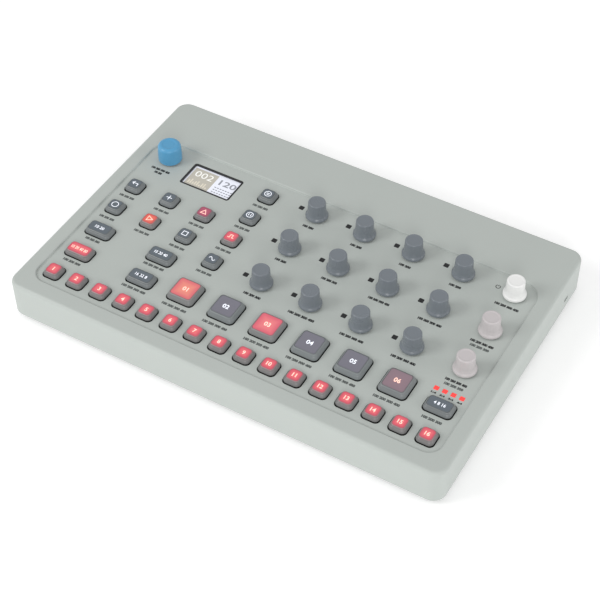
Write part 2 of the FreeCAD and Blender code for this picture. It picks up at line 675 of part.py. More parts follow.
def make_base_cover():
    """Build the plate that closes the case from below, with its stiffening ribs."""
    body = new_sub_part("base_cover")
    gap = "2*(Sizes.wall + Sizes.base_gap)"
    block(body, "Plate", "Sizes.base_bottom", "Sizes.base_top", "0", "0", f"Sizes.case_width - {gap}",
          f"Sizes.case_depth - {gap}", "Sizes.case_corner - Sizes.wall - Sizes.base_gap")
    round_edges(body, "PlateEdge", "Sizes.base_edge", edge_at("Sizes.base_bottom"))
    ribs = [rounded_rectangle(f"({index} - {RIBS - 1}/2)*Sizes.rib_space", "0", "Sizes.rib_thick",
                              "Sizes.rib_long", "Sizes.rib_corner") for index in range(RIBS)]
    upright(body, "Ribs", "Sizes.base_top", "Sizes.rib_top", ribs)
    long_ribs = [rounded_rectangle("0", y, "Sizes.rib_wide", "Sizes.rib_thick", "Sizes.rib_corner")
                 for y in ("-Sizes.rib_side", "Sizes.rib_side")]
    upright(body, "LongRibs", "Sizes.base_top", "Sizes.rib_top", long_ribs)
    columns(body, "ScrewWays", "Sizes.base_bottom - Sizes.past", "Sizes.base_top + Sizes.past",
            CASE_SCREW_PLACES, "Sizes.screw_way_radius", True)
    columns(body, "HeadSinks", "Sizes.base_bottom - Sizes.past", "Sizes.base_bottom + Sizes.head_sink_depth",
            CASE_SCREW_PLACES, "Sizes.head_sink_radius", True)


def make_rubber_feet():
    """Build the four feet as one group."""
    body = new_sub_part("rubber_feet")
    places = [(f"{side}*Sizes.foot_x", f"{end}*Sizes.foot_y") for side in (-1, 1) for end in (-1, 1)]
    columns(body, "Feet", "0", "Sizes.base_bottom", places, "Sizes.foot_radius")
    round_edges(body, "FootEdge", "Sizes.foot_edge", edge_at("0"))


def make_screws():
    """Build the case screws and the board screws as one group."""
    body = new_sub_part("screws")
    groups = (
        ("Case", CASE_SCREW_PLACES, "Sizes.base_bottom + Sizes.head_sunk",
         "Sizes.base_top + Sizes.screw_bite"),
        ("Board", BOARD_SCREW_PLACES, "Sizes.board_bottom - Sizes.head_thick - Sizes.solder_gap",
         "Sizes.board_top + Sizes.board_screw_bite"),
    )
    for name, places, low, high in groups:
        columns(body, f"{name}Heads", low, f"{low} + Sizes.head_thick", places, "Sizes.head_radius")
        columns(body, f"{name}Shanks", f"{low} + Sizes.slot_deep + Sizes.socket_floor", high, places,
                "Sizes.screw_radius")
        columns(body, f"{name}Sockets", f"{low} - Sizes.sink", f"{low} + Sizes.slot_deep", places,
                "Sizes.slot_radius", True)


def make_panel_windows():
    """Build the display window and the lamp windows as one group."""
    display = new_body("DisplayWindow")
    gap = "2*Sizes.window_gap"
    low = "Sizes.panel_level - Sizes.screen_thick"
    block(display, "Pane", low, "Sizes.panel_level", "(Sizes.screen_left + Sizes.screen_right)/2",
          "(Sizes.screen_front + Sizes.screen_rear)/2", f"Sizes.screen_right - Sizes.screen_left - {gap}",
          f"Sizes.screen_rear - Sizes.screen_front - {gap}", "Sizes.screen_corner - Sizes.window_gap")
    lamps = lamp_pieces("window", "-Sizes.panel_thick", "0", "0")
    sub_parts.append(group_of("panel_windows", [display] + lamps))


def switch_pieces():
    """Make the switch under each key."""
    switch = new_body("KeySwitch")
    block(switch, "Box", "Sizes.solder_gap", "Sizes.switch_top - Sizes.board_top", "0", "0",
          "Sizes.switch_size", "Sizes.switch_size", "Sizes.switch_corner")
    return [copy_of(switch, f"{name}_switch", x, y, "Sizes.board_top")
            for name, _, x, y in key_places()]


def control_piece(name, side, places):
    """Make the rotary controls of one size, each with the hole for its shaft."""
    control = new_body(name)
    high = "Sizes.pot_top - Sizes.board_top"
    block(control, "Box", "Sizes.solder_gap", high, "0", "0", side, side, "Sizes.pot_corner")
    floor = "Sizes.shaft_bottom - Sizes.dial_travel - Sizes.shaft_end_gap - Sizes.board_top"
    columns(control, "ShaftWay", floor, f"{high} + Sizes.past", (("0", "0"),),
            "Sizes.shaft_radius + Sizes.shaft_gap", True)
    return [copy_of(control, f"{name}_{index}", x, y, "Sizes.board_top")
            for index, (x, y) in enumerate(places)]


def jack_pieces(kind, places):
    """Make the round sockets of one kind: body, nose through the wall and bore for the plug."""
    jack = new_body(kind)
    rear_end = f"Sizes.{kind}_rear"
    level = "Sizes.socket_level"
    high = f"{level} + Sizes.{kind}_width*Sizes.jack_top_share"
    block(jack, "Box", "Sizes.socket_board_top + Sizes.solder_gap", high, "0",
          f"({rear_end} + Sizes.socket_shoulder)/2", f"Sizes.{kind}_width",
          f"Sizes.socket_shoulder - {rear_end}", "Sizes.box_corner")
    along_y(jack, "Nose", "Sizes.socket_shoulder - Sizes.past", "Sizes.socket_front",
            [circle("0", level, f"Sizes.{kind}_nose")])
    along_y(jack, "Bore", f"Sizes.socket_front - Sizes.{kind}_depth", "Sizes.socket_front + Sizes.past",
            [circle("0", level, f"Sizes.{kind}_bore")], True)
    if kind == "power":
        along_y(jack, "Pin", "Sizes.socket_front - Sizes.power_depth - Sizes.sink",
                "Sizes.socket_front - Sizes.past", [circle("0", level, "Sizes.power_pin")])
    return [copy_of(jack, f"{kind}_{index}", x) for index, x in enumerate(places)]


def make_usb():
    """Make the flat computer socket with its tongue."""
    usb = new_body("UsbSocket")
    block(usb, "Base", "Sizes.socket_board_top + Sizes.solder_gap", "Sizes.socket_level", "Sizes.usb_x",
          "(Sizes.usb_rear + Sizes.socket_shoulder)/2", "Sizes.usb_width",
          "Sizes.socket_shoulder - Sizes.usb_rear", "Sizes.box_corner")
    place = ("Sizes.usb_x", "Sizes.socket_level")
    mouth = "Sizes.socket_front - Sizes.usb_depth"
    along_y(usb, "Shell", "Sizes.usb_rear", "Sizes.socket_front",
            [rounded_rectangle(*place, "Sizes.usb_width", "Sizes.usb_height", "Sizes.usb_corner")])
    opening = rounded_rectangle(*place, "Sizes.usb_mouth_width", "Sizes.usb_mouth_height",
                                "Sizes.usb_mouth_corner")
    along_y(usb, "Mouth", mouth, "Sizes.socket_front + Sizes.past", [opening], True)
    tongue = rounded_rectangle(*place, "Sizes.usb_mouth_width - 2*Sizes.usb_tongue_side", "Sizes.usb_tongue",
                               "Sizes.usb_tongue_corner")
    along_y(usb, "Tongue", f"{mouth} - Sizes.sink", "Sizes.socket_front - Sizes.usb_tongue_back", [tongue])
    return usb


def make_boards():
    """Build the control board, the socket board and the link between them."""
    control = new_body("ControlBoard")
    middle = "(Sizes.board_front + Sizes.board_rear)/2"
    block(control, "Board", "Sizes.board_bottom", "Sizes.board_top", "0", middle,
          "2*Sizes.board_half_width", "Sizes.board_rear - Sizes.board_front", "Sizes.board_corner")
    columns(control, "ScrewWays", "Sizes.board_bottom - Sizes.past", "Sizes.board_top + Sizes.past",
            BOARD_SCREW_PLACES, "Sizes.screw_way_radius", True)
    back = new_body("SocketBoard")
    middle = "(Sizes.socket_board_front + Sizes.socket_board_rear)/2"
    block(back, "Board", "Sizes.socket_board_bottom", "Sizes.socket_board_top", "0", middle,
          "2*Sizes.socket_board_half_width", "Sizes.socket_board_rear - Sizes.socket_board_front",
          "Sizes.board_corner")
    columns(back, "PostNotch", "Sizes.socket_board_bottom - Sizes.past", "Sizes.socket_board_top + Sizes.past",
            (("0", "Sizes.boss_rear_y"),), "Sizes.boss_radius + Sizes.post_room", True)
    link = new_body("BoardLink")
    block(link, "Header", "Sizes.socket_board_top + Sizes.solder_gap", "Sizes.board_bottom - Sizes.solder_gap",
          "Sizes.link_x", "(Sizes.board_rear + Sizes.socket_board_front)/2", "Sizes.link_width",
          "Sizes.link_depth", "Sizes.box_corner")
    display = new_body("DisplayModule")
    block(display, "Module", "Sizes.board_top + Sizes.solder_gap", "Sizes.display_top",
          "(Sizes.screen_left + Sizes.screen_right)/2", "(Sizes.screen_front + Sizes.screen_rear)/2",
          "Sizes.screen_right - Sizes.screen_left - 2*Sizes.display_inset",
          "Sizes.screen_rear - Sizes.screen_front - 2*Sizes.display_inset", "Sizes.box_corner")
    return [control, back, link, display]


def make_circuit_boards():
    """Group both boards with what is soldered to them."""
    pieces = make_boards() + switch_pieces()
    pieces += control_piece("RotaryControl", "Sizes.pot_size", knob_places())
    pieces += control_piece("DialEncoder", "Sizes.dial_size", (("Sizes.dial_x", "Sizes.dial_y"),))
    pieces += jack_pieces("large_jack", LARGE_JACKS)
    pieces += jack_pieces("small_jack", SMALL_JACKS)
    pieces += jack_pieces("power", ("Sizes.power_x",))
    sub_parts.append(group_of("circuit_boards", pieces + [make_usb()]))


def make_key_pattern(kind):
    """Build one kind of key: flange, straight skirt, leaning cap with a rounded top, and stem."""
    long_side, short_side, height = KEY_KINDS[kind]
    body = new_body(f"KeyPattern{kind.title()}")
    width = f"{long_side} - 2*Sizes.key_gap"
    depth = f"{short_side} - 2*Sizes.key_gap"
    lip_top = "-Sizes.panel_thick - Sizes.key_lip_gap"
    lip_bottom = f"{lip_top} - Sizes.key_lip_thick"
    block(body, "Flange", lip_bottom, lip_top, "0", "0", f"{width} + 2*Sizes.key_lip",
          f"{depth} + 2*Sizes.key_lip", "Sizes.key_corner + Sizes.key_lip")
    block(body, "Skirt", f"{lip_top} - Sizes.sink", "Sizes.key_skirt", "0", "0", width, depth,
          "Sizes.key_corner")
    foot = new_sketch(body, "CapFoot", "XY_Plane", "Sizes.key_skirt")
    draw(foot, [rounded_rectangle("0", "0", width, depth, "Sizes.key_corner")])
    crown = new_sketch(body, "CapCrown", "XY_Plane", height)
    lean = "2*Sizes.key_lean"
    draw(crown, [rounded_rectangle("0", "0", f"{width} - {lean}", f"{depth} - {lean}",
                                   "Sizes.key_corner - Sizes.key_crown_inset")])
    cap = body.newObject("PartDesign::AdditiveLoft", "Cap")
    cap.Profile = foot
    cap.Sections = [crown]
    cap.Ruled = True
    doc.recompute()
    round_edges(body, "CapEdge", "Sizes.key_edge", edge_at(height))
    stem_low = "Sizes.switch_top + Sizes.key_travel + Sizes.key_stop_gap - Sizes.panel_level"
    columns(body, "Stem", stem_low, f"{lip_bottom} + Sizes.sink", (("0", "0"),), "Sizes.stem_radius")
    return body


def make_keys():
    """Build every key and track pad from the three kinds."""
    patterns = {kind: make_key_pattern(kind) for kind in KEY_KINDS}
    for name, kind, x, y in key_places():
        sub_parts.append(copy_of(patterns[kind], name, x, y, "Sizes.panel_level"))


def outline(corners):
    """Plan a closed outline of straight runs, with each corner bound to the sheet."""
    def plan(first):
        points = [FreeCAD.Vector(number(x), number(y), 0) for x, y in corners]
        count = len(points)
        lines = []
        rules = []
        bound = []
        for index, (x, y) in enumerate(corners):
            following = (index + 1) % count
            lines.append(Part.LineSegment(points[index], points[following]))
            rules.append(Sketcher.Constraint("Coincident", first + index, 2, first + following, 1))
            bound.append(("DistanceX", f"x{index}", (-1, 1, first + index, 1), x))
            bound.append(("DistanceY", f"y{index}", (-1, 1, first + index, 1), y))
        return lines, rules, bound

    return plan


def revolve(body, name, corners):
    """Turn an outline, given as radius and height, round the body's Z axis."""
    sketch = new_sketch(body, f"{name}Outline", "XZ_Plane", "0")
    draw(sketch, [outline(corners)])
    turned = body.newObject("PartDesign::Revolution", name)
    turned.Profile = sketch
    turned.ReferenceAxis = (sketch, ["V_Axis"])
    turned.Angle = 360
    doc.recompute()
    return turned


def ring_at(radius, height):
    """Make a test for a round edge of one radius at one height."""
    wanted_radius, level = number(radius), number(height)

    def wanted(edge):
        box = edge.BoundBox
        flat = abs(box.ZMin - level) < 0.01 and abs(box.ZMax - level) < 0.01
        return flat and abs(box.XMax - wanted_radius) < 0.01

    return wanted


def make_knob_pattern():
    """Build a small knob with a flared skirt, and the control shaft it is pressed on."""
    body = new_body("KnobPattern")
    bore = "Sizes.shaft_radius + Sizes.shaft_gap"
    skirt_inside = "Sizes.knob_skirt_radius - Sizes.knob_skirt_wall"
    revolve(body, "Cap", (
        ("0", "Sizes.knob_top - Sizes.knob_dish_deep"),
        ("0", "Sizes.knob_bore_top"),
        (bore, "Sizes.knob_bore_top"),
        (bore, "Sizes.knob_skirt_top + Sizes.knob_hollow"),
        (skirt_inside, "Sizes.knob_skirt_top - Sizes.knob_hollow"),
        (skirt_inside, "Sizes.knob_bottom"),
        ("Sizes.knob_skirt_radius", "Sizes.knob_bottom"),
        ("Sizes.knob_skirt_radius", "Sizes.knob_skirt_top"),
        ("Sizes.knob_waist_radius", "Sizes.knob_waist"),
        ("Sizes.knob_top_radius", "Sizes.knob_top"),
        ("Sizes.knob_dish_radius", "Sizes.knob_top"),
        ("Sizes.knob_dish_radius - Sizes.knob_dish_slope", "Sizes.knob_top - Sizes.knob_dish_deep"),
    ))
    round_edges(body, "FlareHollow", "Sizes.knob_flare_round",
                ring_at("Sizes.knob_waist_radius", "Sizes.knob_waist"))
    round_edges(body, "SkirtEdge", "Sizes.knob_skirt_edge",
                ring_at("Sizes.knob_skirt_radius", "Sizes.knob_skirt_top"))
    round_edges(body, "SkirtFoot", "Sizes.knob_skirt_edge/2",
                ring_at("Sizes.knob_skirt_radius", "Sizes.knob_bottom"))
    round_edges(body, "TopEdge", "Sizes.knob_top_edge", ring_at("Sizes.knob_top_radius", "Sizes.knob_top"))
    columns(body, "Shaft", "Sizes.shaft_bottom - Sizes.panel_level", "Sizes.knob_bore_top - Sizes.shaft_gap",
            (("0", "0"),), "Sizes.shaft_radius")
    return body


def make_large_knob():
    """Build the large endless knob and the push shaft that carries it."""
    body = new_sub_part("level_data_knob", "Sizes.dial_x", "Sizes.dial_y", "Sizes.panel_level")
    bore = "Sizes.shaft_radius + Sizes.shaft_gap"
    skirt_inside = "Sizes.dial_radius - Sizes.knob_skirt_wall"
    revolve(body, "Cap", (
        ("0", "Sizes.dial_top - Sizes.dial_dish_deep"),
        ("0", "Sizes.dial_bore_top"),
        (bore, "Sizes.dial_bore_top"),
        (bore, "Sizes.knob_skirt_top + Sizes.knob_hollow"),
        (skirt_inside, "Sizes.knob_skirt_top - Sizes.knob_hollow"),
        (skirt_inside, "Sizes.knob_bottom"),
        ("Sizes.dial_radius", "Sizes.knob_bottom"),
        ("Sizes.dial_radius", "Sizes.dial_waist"),
        ("Sizes.dial_top_radius", "Sizes.dial_top"),
        ("Sizes.dial_dish_radius", "Sizes.dial_top"),
        ("Sizes.dial_dish_radius - Sizes.dial_dish_slope", "Sizes.dial_top - Sizes.dial_dish_deep"),
    ))
    round_edges(body, "SkirtFoot", "Sizes.knob_skirt_edge", ring_at("Sizes.dial_radius", "Sizes.knob_bottom"))
    round_edges(body, "TopEdge", "Sizes.dial_top_edge", ring_at("Sizes.dial_top_radius", "Sizes.dial_top"))
    shaft = new_sub_part("level_data_shaft", "Sizes.dial_x", "Sizes.dial_y", "Sizes.panel_level")
    columns(shaft, "Shaft", "Sizes.shaft_bottom - Sizes.panel_level", "Sizes.dial_bore_top - Sizes.shaft_gap",
            (("0", "0"),), "Sizes.shaft_radius")


def make_knobs():
    """Build every knob."""
    pattern = make_knob_pattern()
    for row, names in enumerate(KNOBS):
        for column, name in enumerate(names):
            sub_parts.append(copy_of(pattern, name, *knob_place(row, column), "Sizes.panel_level"))
    make_large_knob()


def check_document():
    """Stop if any object failed or any sub-part is not a sound solid."""
    for item in doc.Objects:
        if "Invalid" in item.State or "Error" in item.State:
            raise ValueError(f"{item.Label} is {item.State}")
    for body in sub_parts:
        shape = body.Shape
        if shape.isNull() or not shape.isValid() or not shape.Solids:
            raise ValueError(f"{body.Label} is not a valid solid")


def write_files():
    """Write one file for each sub-part, named after it."""
    os.makedirs("parts", exist_ok=True)
    for body in sub_parts:
        body.Shape.exportStep(f"parts/{body.Label}.step")
        shape = body.Shape
        top = shape.BoundBox.ZMax
        print(f"{body.Label}: {len(shape.Solids)} solids, {shape.Volume:.1f} mm3, top {top:.2f}")


fill_sheet()
make_top_case()
make_base_cover()
make_rubber_feet()
make_screws()
make_panel_windows()
make_circuit_boards()
make_keys()
make_knobs()
doc.recompute()
check_document()
write_files()
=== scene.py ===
"""Looks of a desktop drum machine, built round its packed construction model.

Every length in a dataclass is in millimetres, in the frame of the model: +Z up, +X to the
player's right, +Y towards the sockets, with the feet on the floor at zero. Meshes are
worked out as arrays of points in those units and reach Blender in metres.
"""
import logging
import math
from dataclasses import dataclass, field
from enum import Enum

import bpy
import numpy as np
from mathutils import Matrix, Vector


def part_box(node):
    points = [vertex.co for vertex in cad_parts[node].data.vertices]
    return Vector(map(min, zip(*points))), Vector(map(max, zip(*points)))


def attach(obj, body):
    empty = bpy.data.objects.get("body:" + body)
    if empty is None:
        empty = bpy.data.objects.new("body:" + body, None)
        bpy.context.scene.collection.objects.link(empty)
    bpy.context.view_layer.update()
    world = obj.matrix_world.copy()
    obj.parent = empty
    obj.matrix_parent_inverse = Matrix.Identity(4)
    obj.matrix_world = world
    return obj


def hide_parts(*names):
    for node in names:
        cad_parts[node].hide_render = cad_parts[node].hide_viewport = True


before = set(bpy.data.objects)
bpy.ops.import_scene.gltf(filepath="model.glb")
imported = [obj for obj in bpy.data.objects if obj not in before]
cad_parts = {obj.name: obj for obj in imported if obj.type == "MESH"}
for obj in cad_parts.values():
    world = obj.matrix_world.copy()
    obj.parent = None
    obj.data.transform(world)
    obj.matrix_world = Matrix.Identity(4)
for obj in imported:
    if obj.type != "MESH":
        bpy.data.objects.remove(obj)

LOG = logging.getLogger("drum_machine")
# Tuples of numbers, such as a place or a colour.
Two = tuple[float, float]
Three = tuple[float, float, float]
Four = tuple[float, float, float, float]
Material = bpy.types.Material
MM = 0.001
CASE_BODY = "case"
SMOOTH_ANGLE = math.radians(34.0)


def box_mm(node: str) -> tuple[np.ndarray, np.ndarray]:
    """Read a node's lowest and highest corners."""
    low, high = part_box(node)
    return np.array(low) / MM, np.array(high) / MM


def centre_mm(node: str) -> np.ndarray:
    """Return the middle of a node's box in millimetres."""
    low, high = box_mm(node)
    return (low + high) / 2


@dataclass
class Shell:
    """A surface as plain arrays, before it becomes a mesh.

    Attributes:
        points: one row for each point, in millimetres.
        faces: corner indices of each face, turning left seen from outside.
        shade: values for each point, by the name that a material reads.
    """

    points: np.ndarray
    faces: list[tuple[int, ...]]
    shade: dict[str, np.ndarray] = field(default_factory=dict)

    def placed(self, x: float, y: float, z: float, turn: Matrix | None = None) -> "Shell":
        """Turn the shell about its origin, then shift it.

        Args:
            x: shift to the right.
            y: shift to the rear.
            z: shift upwards.
            turn: a rotation, or nothing to keep the shell as it stands.

        Returns:
            The shell in its new place.
        """
        points = self.points if turn is None else self.points @ np.array(turn.to_3x3()).T
        return Shell(points + np.array([x, y, z]), self.faces, self.shade)

    def welded(self) -> "Shell":
        """Join points that share a place, which closes seams and poles."""
        keys = np.round(self.points, 5)
        _, first, place = np.unique(keys, axis=0, return_index=True, return_inverse=True)
        place = place.reshape(-1)
        corners = [tuple(dict.fromkeys(place[list(face)].tolist())) for face in self.faces]
        shade = {name: values[first] for name, values in self.shade.items()}
        return Shell(self.points[first], [face for face in corners if len(face) > 2], shade)

    def piece(self, name: str, body: str, material: Material) -> bpy.types.Object:
        """Make the shell an object that rides on a body.

        Args:
            name: the object's name.
            body: the body of the model that carries it.
            material: its material.

        Returns:
            The new object, at the origin, with its place in its mesh.
        """
        mesh = bpy.data.meshes.new(name)
        mesh.from_pydata((self.points * MM).tolist(), [], self.faces)
        mesh.polygons.foreach_set("use_smooth", np.ones(len(mesh.polygons), bool))
        mesh.set_sharp_from_angle(angle=SMOOTH_ANGLE)
        for label, values in self.shade.items():
            layer = mesh.attributes.new(label, "FLOAT", "POINT")
            layer.data.foreach_set("value", values.astype(np.float32))
        mesh.update()
        made = bpy.data.objects.new(name, mesh)
        bpy.context.scene.collection.objects.link(made)
        mesh.materials.append(material)
        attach(made, body)
        return made


def joined(shells: list[Shell]) -> Shell:
    """Put several shells in one, each still closed by itself."""
    faces = []
    start = 0
    for shell in shells:
        faces += [tuple(corner + start for corner in face) for face in shell.faces]
        start += len(shell.points)
    names = shells[0].shade
    shade = {name: np.concatenate([shell.shade[name] for shell in shells]) for name in names}
    return Shell(np.concatenate([shell.points for shell in shells]), faces, shade)


def ring_faces(rings: int, sides: int, loop: bool = False) -> list[tuple[int, ...]]:
    """List the quads between neighbouring rings of a grid.

    The quad at ring i and side j has the corners (i, j), (i, j+1), (i+1, j+1), (i+1, j),
    where the sides close on themselves.

    Args:
        rings: number of rings.
        sides: number of points on each ring.
        loop: whether the last ring joins the first.

    Returns:
        The quads as corner indices.
    """
    lower = np.arange(rings if loop else rings - 1)[:, None]
    here = np.arange(sides)[None, :]
    there = (here + 1) % sides
    upper = (lower + 1) % rings
    quads = [lower * sides + here, lower * sides + there, upper * sides + there, upper * sides + here]
    return [tuple(quad) for quad in np.stack(quads, axis=-1).reshape(-1, 4).tolist()]


def eased(corners: list[Three], steps: int = 6) -> np.ndarray:
    """Round the corners of an open outline.

    A corner of radius r between two runs gets the arc that touches both: it starts and
    ends r times the tangent of half the turn away from the corner.

    Args:
        corners: distance from the axis, height and radius of each corner.
        steps: number of pieces in each arc.

    Returns:
        The outline's points as distances and heights.
    """
    places = np.array(corners)[:, :2]
    outline = [places[:1]]
    for index in range(1, len(corners) - 1):
        before = places[index] - places[index - 1]
        after = places[index + 1] - places[index]
        before /= np.linalg.norm(before)
        after /= np.linalg.norm(after)
        cross = before[0] * after[1] - before[1] * after[0]
        turn = math.atan2(cross, float(before @ after))
        radius = corners[index][2]
        if radius <= 0 or abs(turn) < 1e-3:
            outline.append(places[index:index + 1])
            continue
        side = math.copysign(1.0, turn)
        start = places[index] - before * radius * math.tan(abs(turn) / 2)
        middle = start + np.array([-before[1], before[0]]) * radius * side
        angles = np.linspace(0, turn, steps + 1)[:, None]
        arm = start - middle
        across = np.array([-arm[1], arm[0]])
        outline.append(middle + np.cos(angles) * arm + np.sin(angles) * across)
    outline.append(places[-1:])
    return np.concatenate(outline)


def turned(outline: np.ndarray, sides: int, loop: bool = False) -> Shell:
    """Turn an outline round the Z axis.

    The point at height z and angle a is (r cos a, r sin a, z). Points on the axis become
    poles. An outline that runs up on its outer side faces outwards.

    Args:
        outline: distances from the axis and heights.
        sides: number of steps round the axis.
        loop: whether the outline closes on itself, as that of a ring does.

    Returns:
        The closed shell.
    """
    angle = np.linspace(0, 2 * math.pi, sides, endpoint=False)
    radius, height = outline[:, :1], outline[:, 1:]
    grid = np.stack([radius * np.cos(angle), radius * np.sin(angle), height + 0 * angle], axis=-1)
    return Shell(grid.reshape(-1, 3), ring_faces(len(outline), sides, loop)).welded()


@dataclass(frozen=True)
class SoftSquare:
    """The outline of a rectangle with round corners, as signs and directions.

    A point is (sign times (half side - r)) + (direction times r) in X and in Y. Along a
    side only the sign changes, and round a corner only the direction does.

    Attributes:
        signs: which corner, or where between two corners, each point belongs to.
        directions: the outward direction at each point.
    """

    signs: np.ndarray
    directions: np.ndarray

    @classmethod
    def with_steps(cls, side_steps: int, corner_steps: int) -> "SoftSquare":
        """Lay out the points.

        Args:
            side_steps: points strictly inside each side.
            corner_steps: pieces of each corner arc.

        Returns:
            The outline, starting on the right side and turning left.
        """
        signs, directions = [], []
        along = np.linspace(-1, 1, side_steps + 2)[1:-1, None]
        sweep = np.linspace(0, math.pi / 2, corner_steps + 1)[:, None]
        for quarter in range(4):
            start = quarter * math.pi / 2
            ahead = np.array([[math.cos(start), math.sin(start)]])
            left = np.array([[-math.sin(start), math.cos(start)]])
            signs += [ahead + along * left, np.repeat(ahead + left, corner_steps + 1, axis=0)]
            directions += [np.repeat(ahead, side_steps, axis=0), np.cos(sweep) * ahead + np.sin(sweep) * left]
        return cls(np.concatenate(signs), np.concatenate(directions))

    def rings(
        self, half_x: np.ndarray, half_y: np.ndarray, corner: np.ndarray, height: np.ndarray
    ) -> np.ndarray:
        """Stack outlines of changing size.

        Args:
            half_x: half width of each ring.
            half_y: half depth of each ring.
            corner: corner radius of each ring.
            height: level of each ring.

        Returns:
            Points by ring and side.
        """
        half = np.stack([half_x, half_y], axis=-1)[:, None, :]
        round_part = np.minimum(corner[:, None, None], half)
        flat = self.signs[None] * (half - round_part) + self.directions[None] * round_part
        level = np.broadcast_to(height[:, None, None], flat.shape[:2] + (1,))
        return np.concatenate([flat, level], axis=-1)


def soft_block(width: float, depth: float, low: float, high: float, corner: float, edge: float) -> Shell:
    """Make a closed plate with round corners and an eased upper edge.

    Args:
        width: size along X.
        depth: size along Y.
        low: level of the underside.
        high: level of the top.
        corner: corner radius seen from above.
        edge: radius of the upper edge.

    Returns:
        The shell, centred on the Z axis.
    """
    turn = np.linspace(0, math.pi / 2, 5)
    inset = np.concatenate([[np.inf, 0.0], edge * (1 - np.cos(turn)), [np.inf]])
    height = np.concatenate([[low, low], high - edge + edge * np.sin(turn), [high]])
    half_x = np.maximum(width / 2 - inset, 0)
    half_y = np.maximum(depth / 2 - inset, 0)
    ring = SoftSquare.with_steps(1, 5)
    grid = ring.rings(half_x, half_y, np.maximum(corner - inset, 0.05), height)
    return Shell(grid.reshape(-1, 3), ring_faces(len(height), grid.shape[1])).welded()


def ribbon(path: np.ndarray, width: float, thick: float, closed: bool) -> Shell:
    """Lay a flat band along a line, for a printed or moulded stroke.

    Each point of the line gets a point half the width to its left and one to its right,
    along the bisector of its two runs, on the upper and on the lower face.

    Args:
        path: the line's points in X and Y.
        width: width of the band.
        thick: its thickness, from zero upwards.
        closed: whether the line returns to its start.

    Returns:
        The closed band.
    """
    runs = np.diff(np.concatenate([path, path[:1]]) if closed else path, axis=0)
    runs /= np.linalg.norm(runs, axis=1, keepdims=True)
    before = np.roll(runs, 1, axis=0) if closed else np.concatenate([runs[:1], runs])
    after = runs if closed else np.concatenate([runs, runs[-1:]])
    middle = before + after
    middle /= np.linalg.norm(middle, axis=1, keepdims=True)
    widen = width / 2 / np.maximum((middle * after).sum(axis=1, keepdims=True), 0.4)
    left = np.stack([-middle[:, 1], middle[:, 0]], axis=1) * widen
    sides = [path + left, path - left, path - left, path + left]
    levels = [thick, thick, 0.0, 0.0]
    rows = [np.column_stack([side, np.full(len(path), level)]) for side, level in zip(sides, levels)]
    grid = np.stack(rows, axis=1)
    faces = ring_faces(len(path), 4, closed)
    if not closed:
        last = 4 * (len(path) - 1)
        faces += [(3, 2, 1, 0), (last, last + 1, last + 2, last + 3)]
    return Shell(grid.reshape(-1, 3), [face[::-1] for face in faces])


def digits(text: str, height: float, thick: float, width: float = 0.0, bold: float = 0.02) -> Shell:
    """Make plain figures as thin solids.

    Args:
        text: the figures.
        height: height of a figure.
        thick: thickness, from zero upwards.
        width: width of the whole text, or zero for the usual width.
        bold: how far each outline grows, as a share of the height.

    Returns:
        The figures, centred on the Z axis.
    """
    curve = bpy.data.curves.new("figures", "FONT")
    curve.body = text
    curve.size = 1.0
    curve.resolution_u = 3
    curve.offset = bold
    curve.extrude = 0.5
    holder = bpy.data.objects.new("figures", curve)
    bpy.context.scene.collection.objects.link(holder)
    bpy.context.view_layer.update()
    mesh = bpy.data.meshes.new_from_object(holder)
    points = np.zeros(len(mesh.vertices) * 3)
    mesh.vertices.foreach_get("co", points)
    faces = [tuple(polygon.vertices) for polygon in mesh.polygons]
    bpy.data.objects.remove(holder)
    bpy.data.curves.remove(curve)
    bpy.data.meshes.remove(mesh)
    points = points.reshape(-1, 3)
    low, high = points.min(axis=0), points.max(axis=0)
    scale = height / (high[1] - low[1])
    across = width / (high[0] - low[0]) if width > 0 else scale
    points = (points - (low + high) / 2) * np.array([across, scale, thick])
    points[:, 2] += thick / 2
    return Shell(points, faces).welded()


def arc(radius: float, start: float, end: float, steps: int) -> np.ndarray:
    """Return points on a circle about the origin, between two angles in degrees."""
    angle = np.radians(np.linspace(start, end, steps + 1))
    return radius * np.stack([np.cos(angle), np.sin(angle)], axis=1)


def bent(*numbers: float) -> np.ndarray:
    """Return a line's points from their X and Y, one point after the other."""
    return np.array(numbers).reshape(-1, 2)


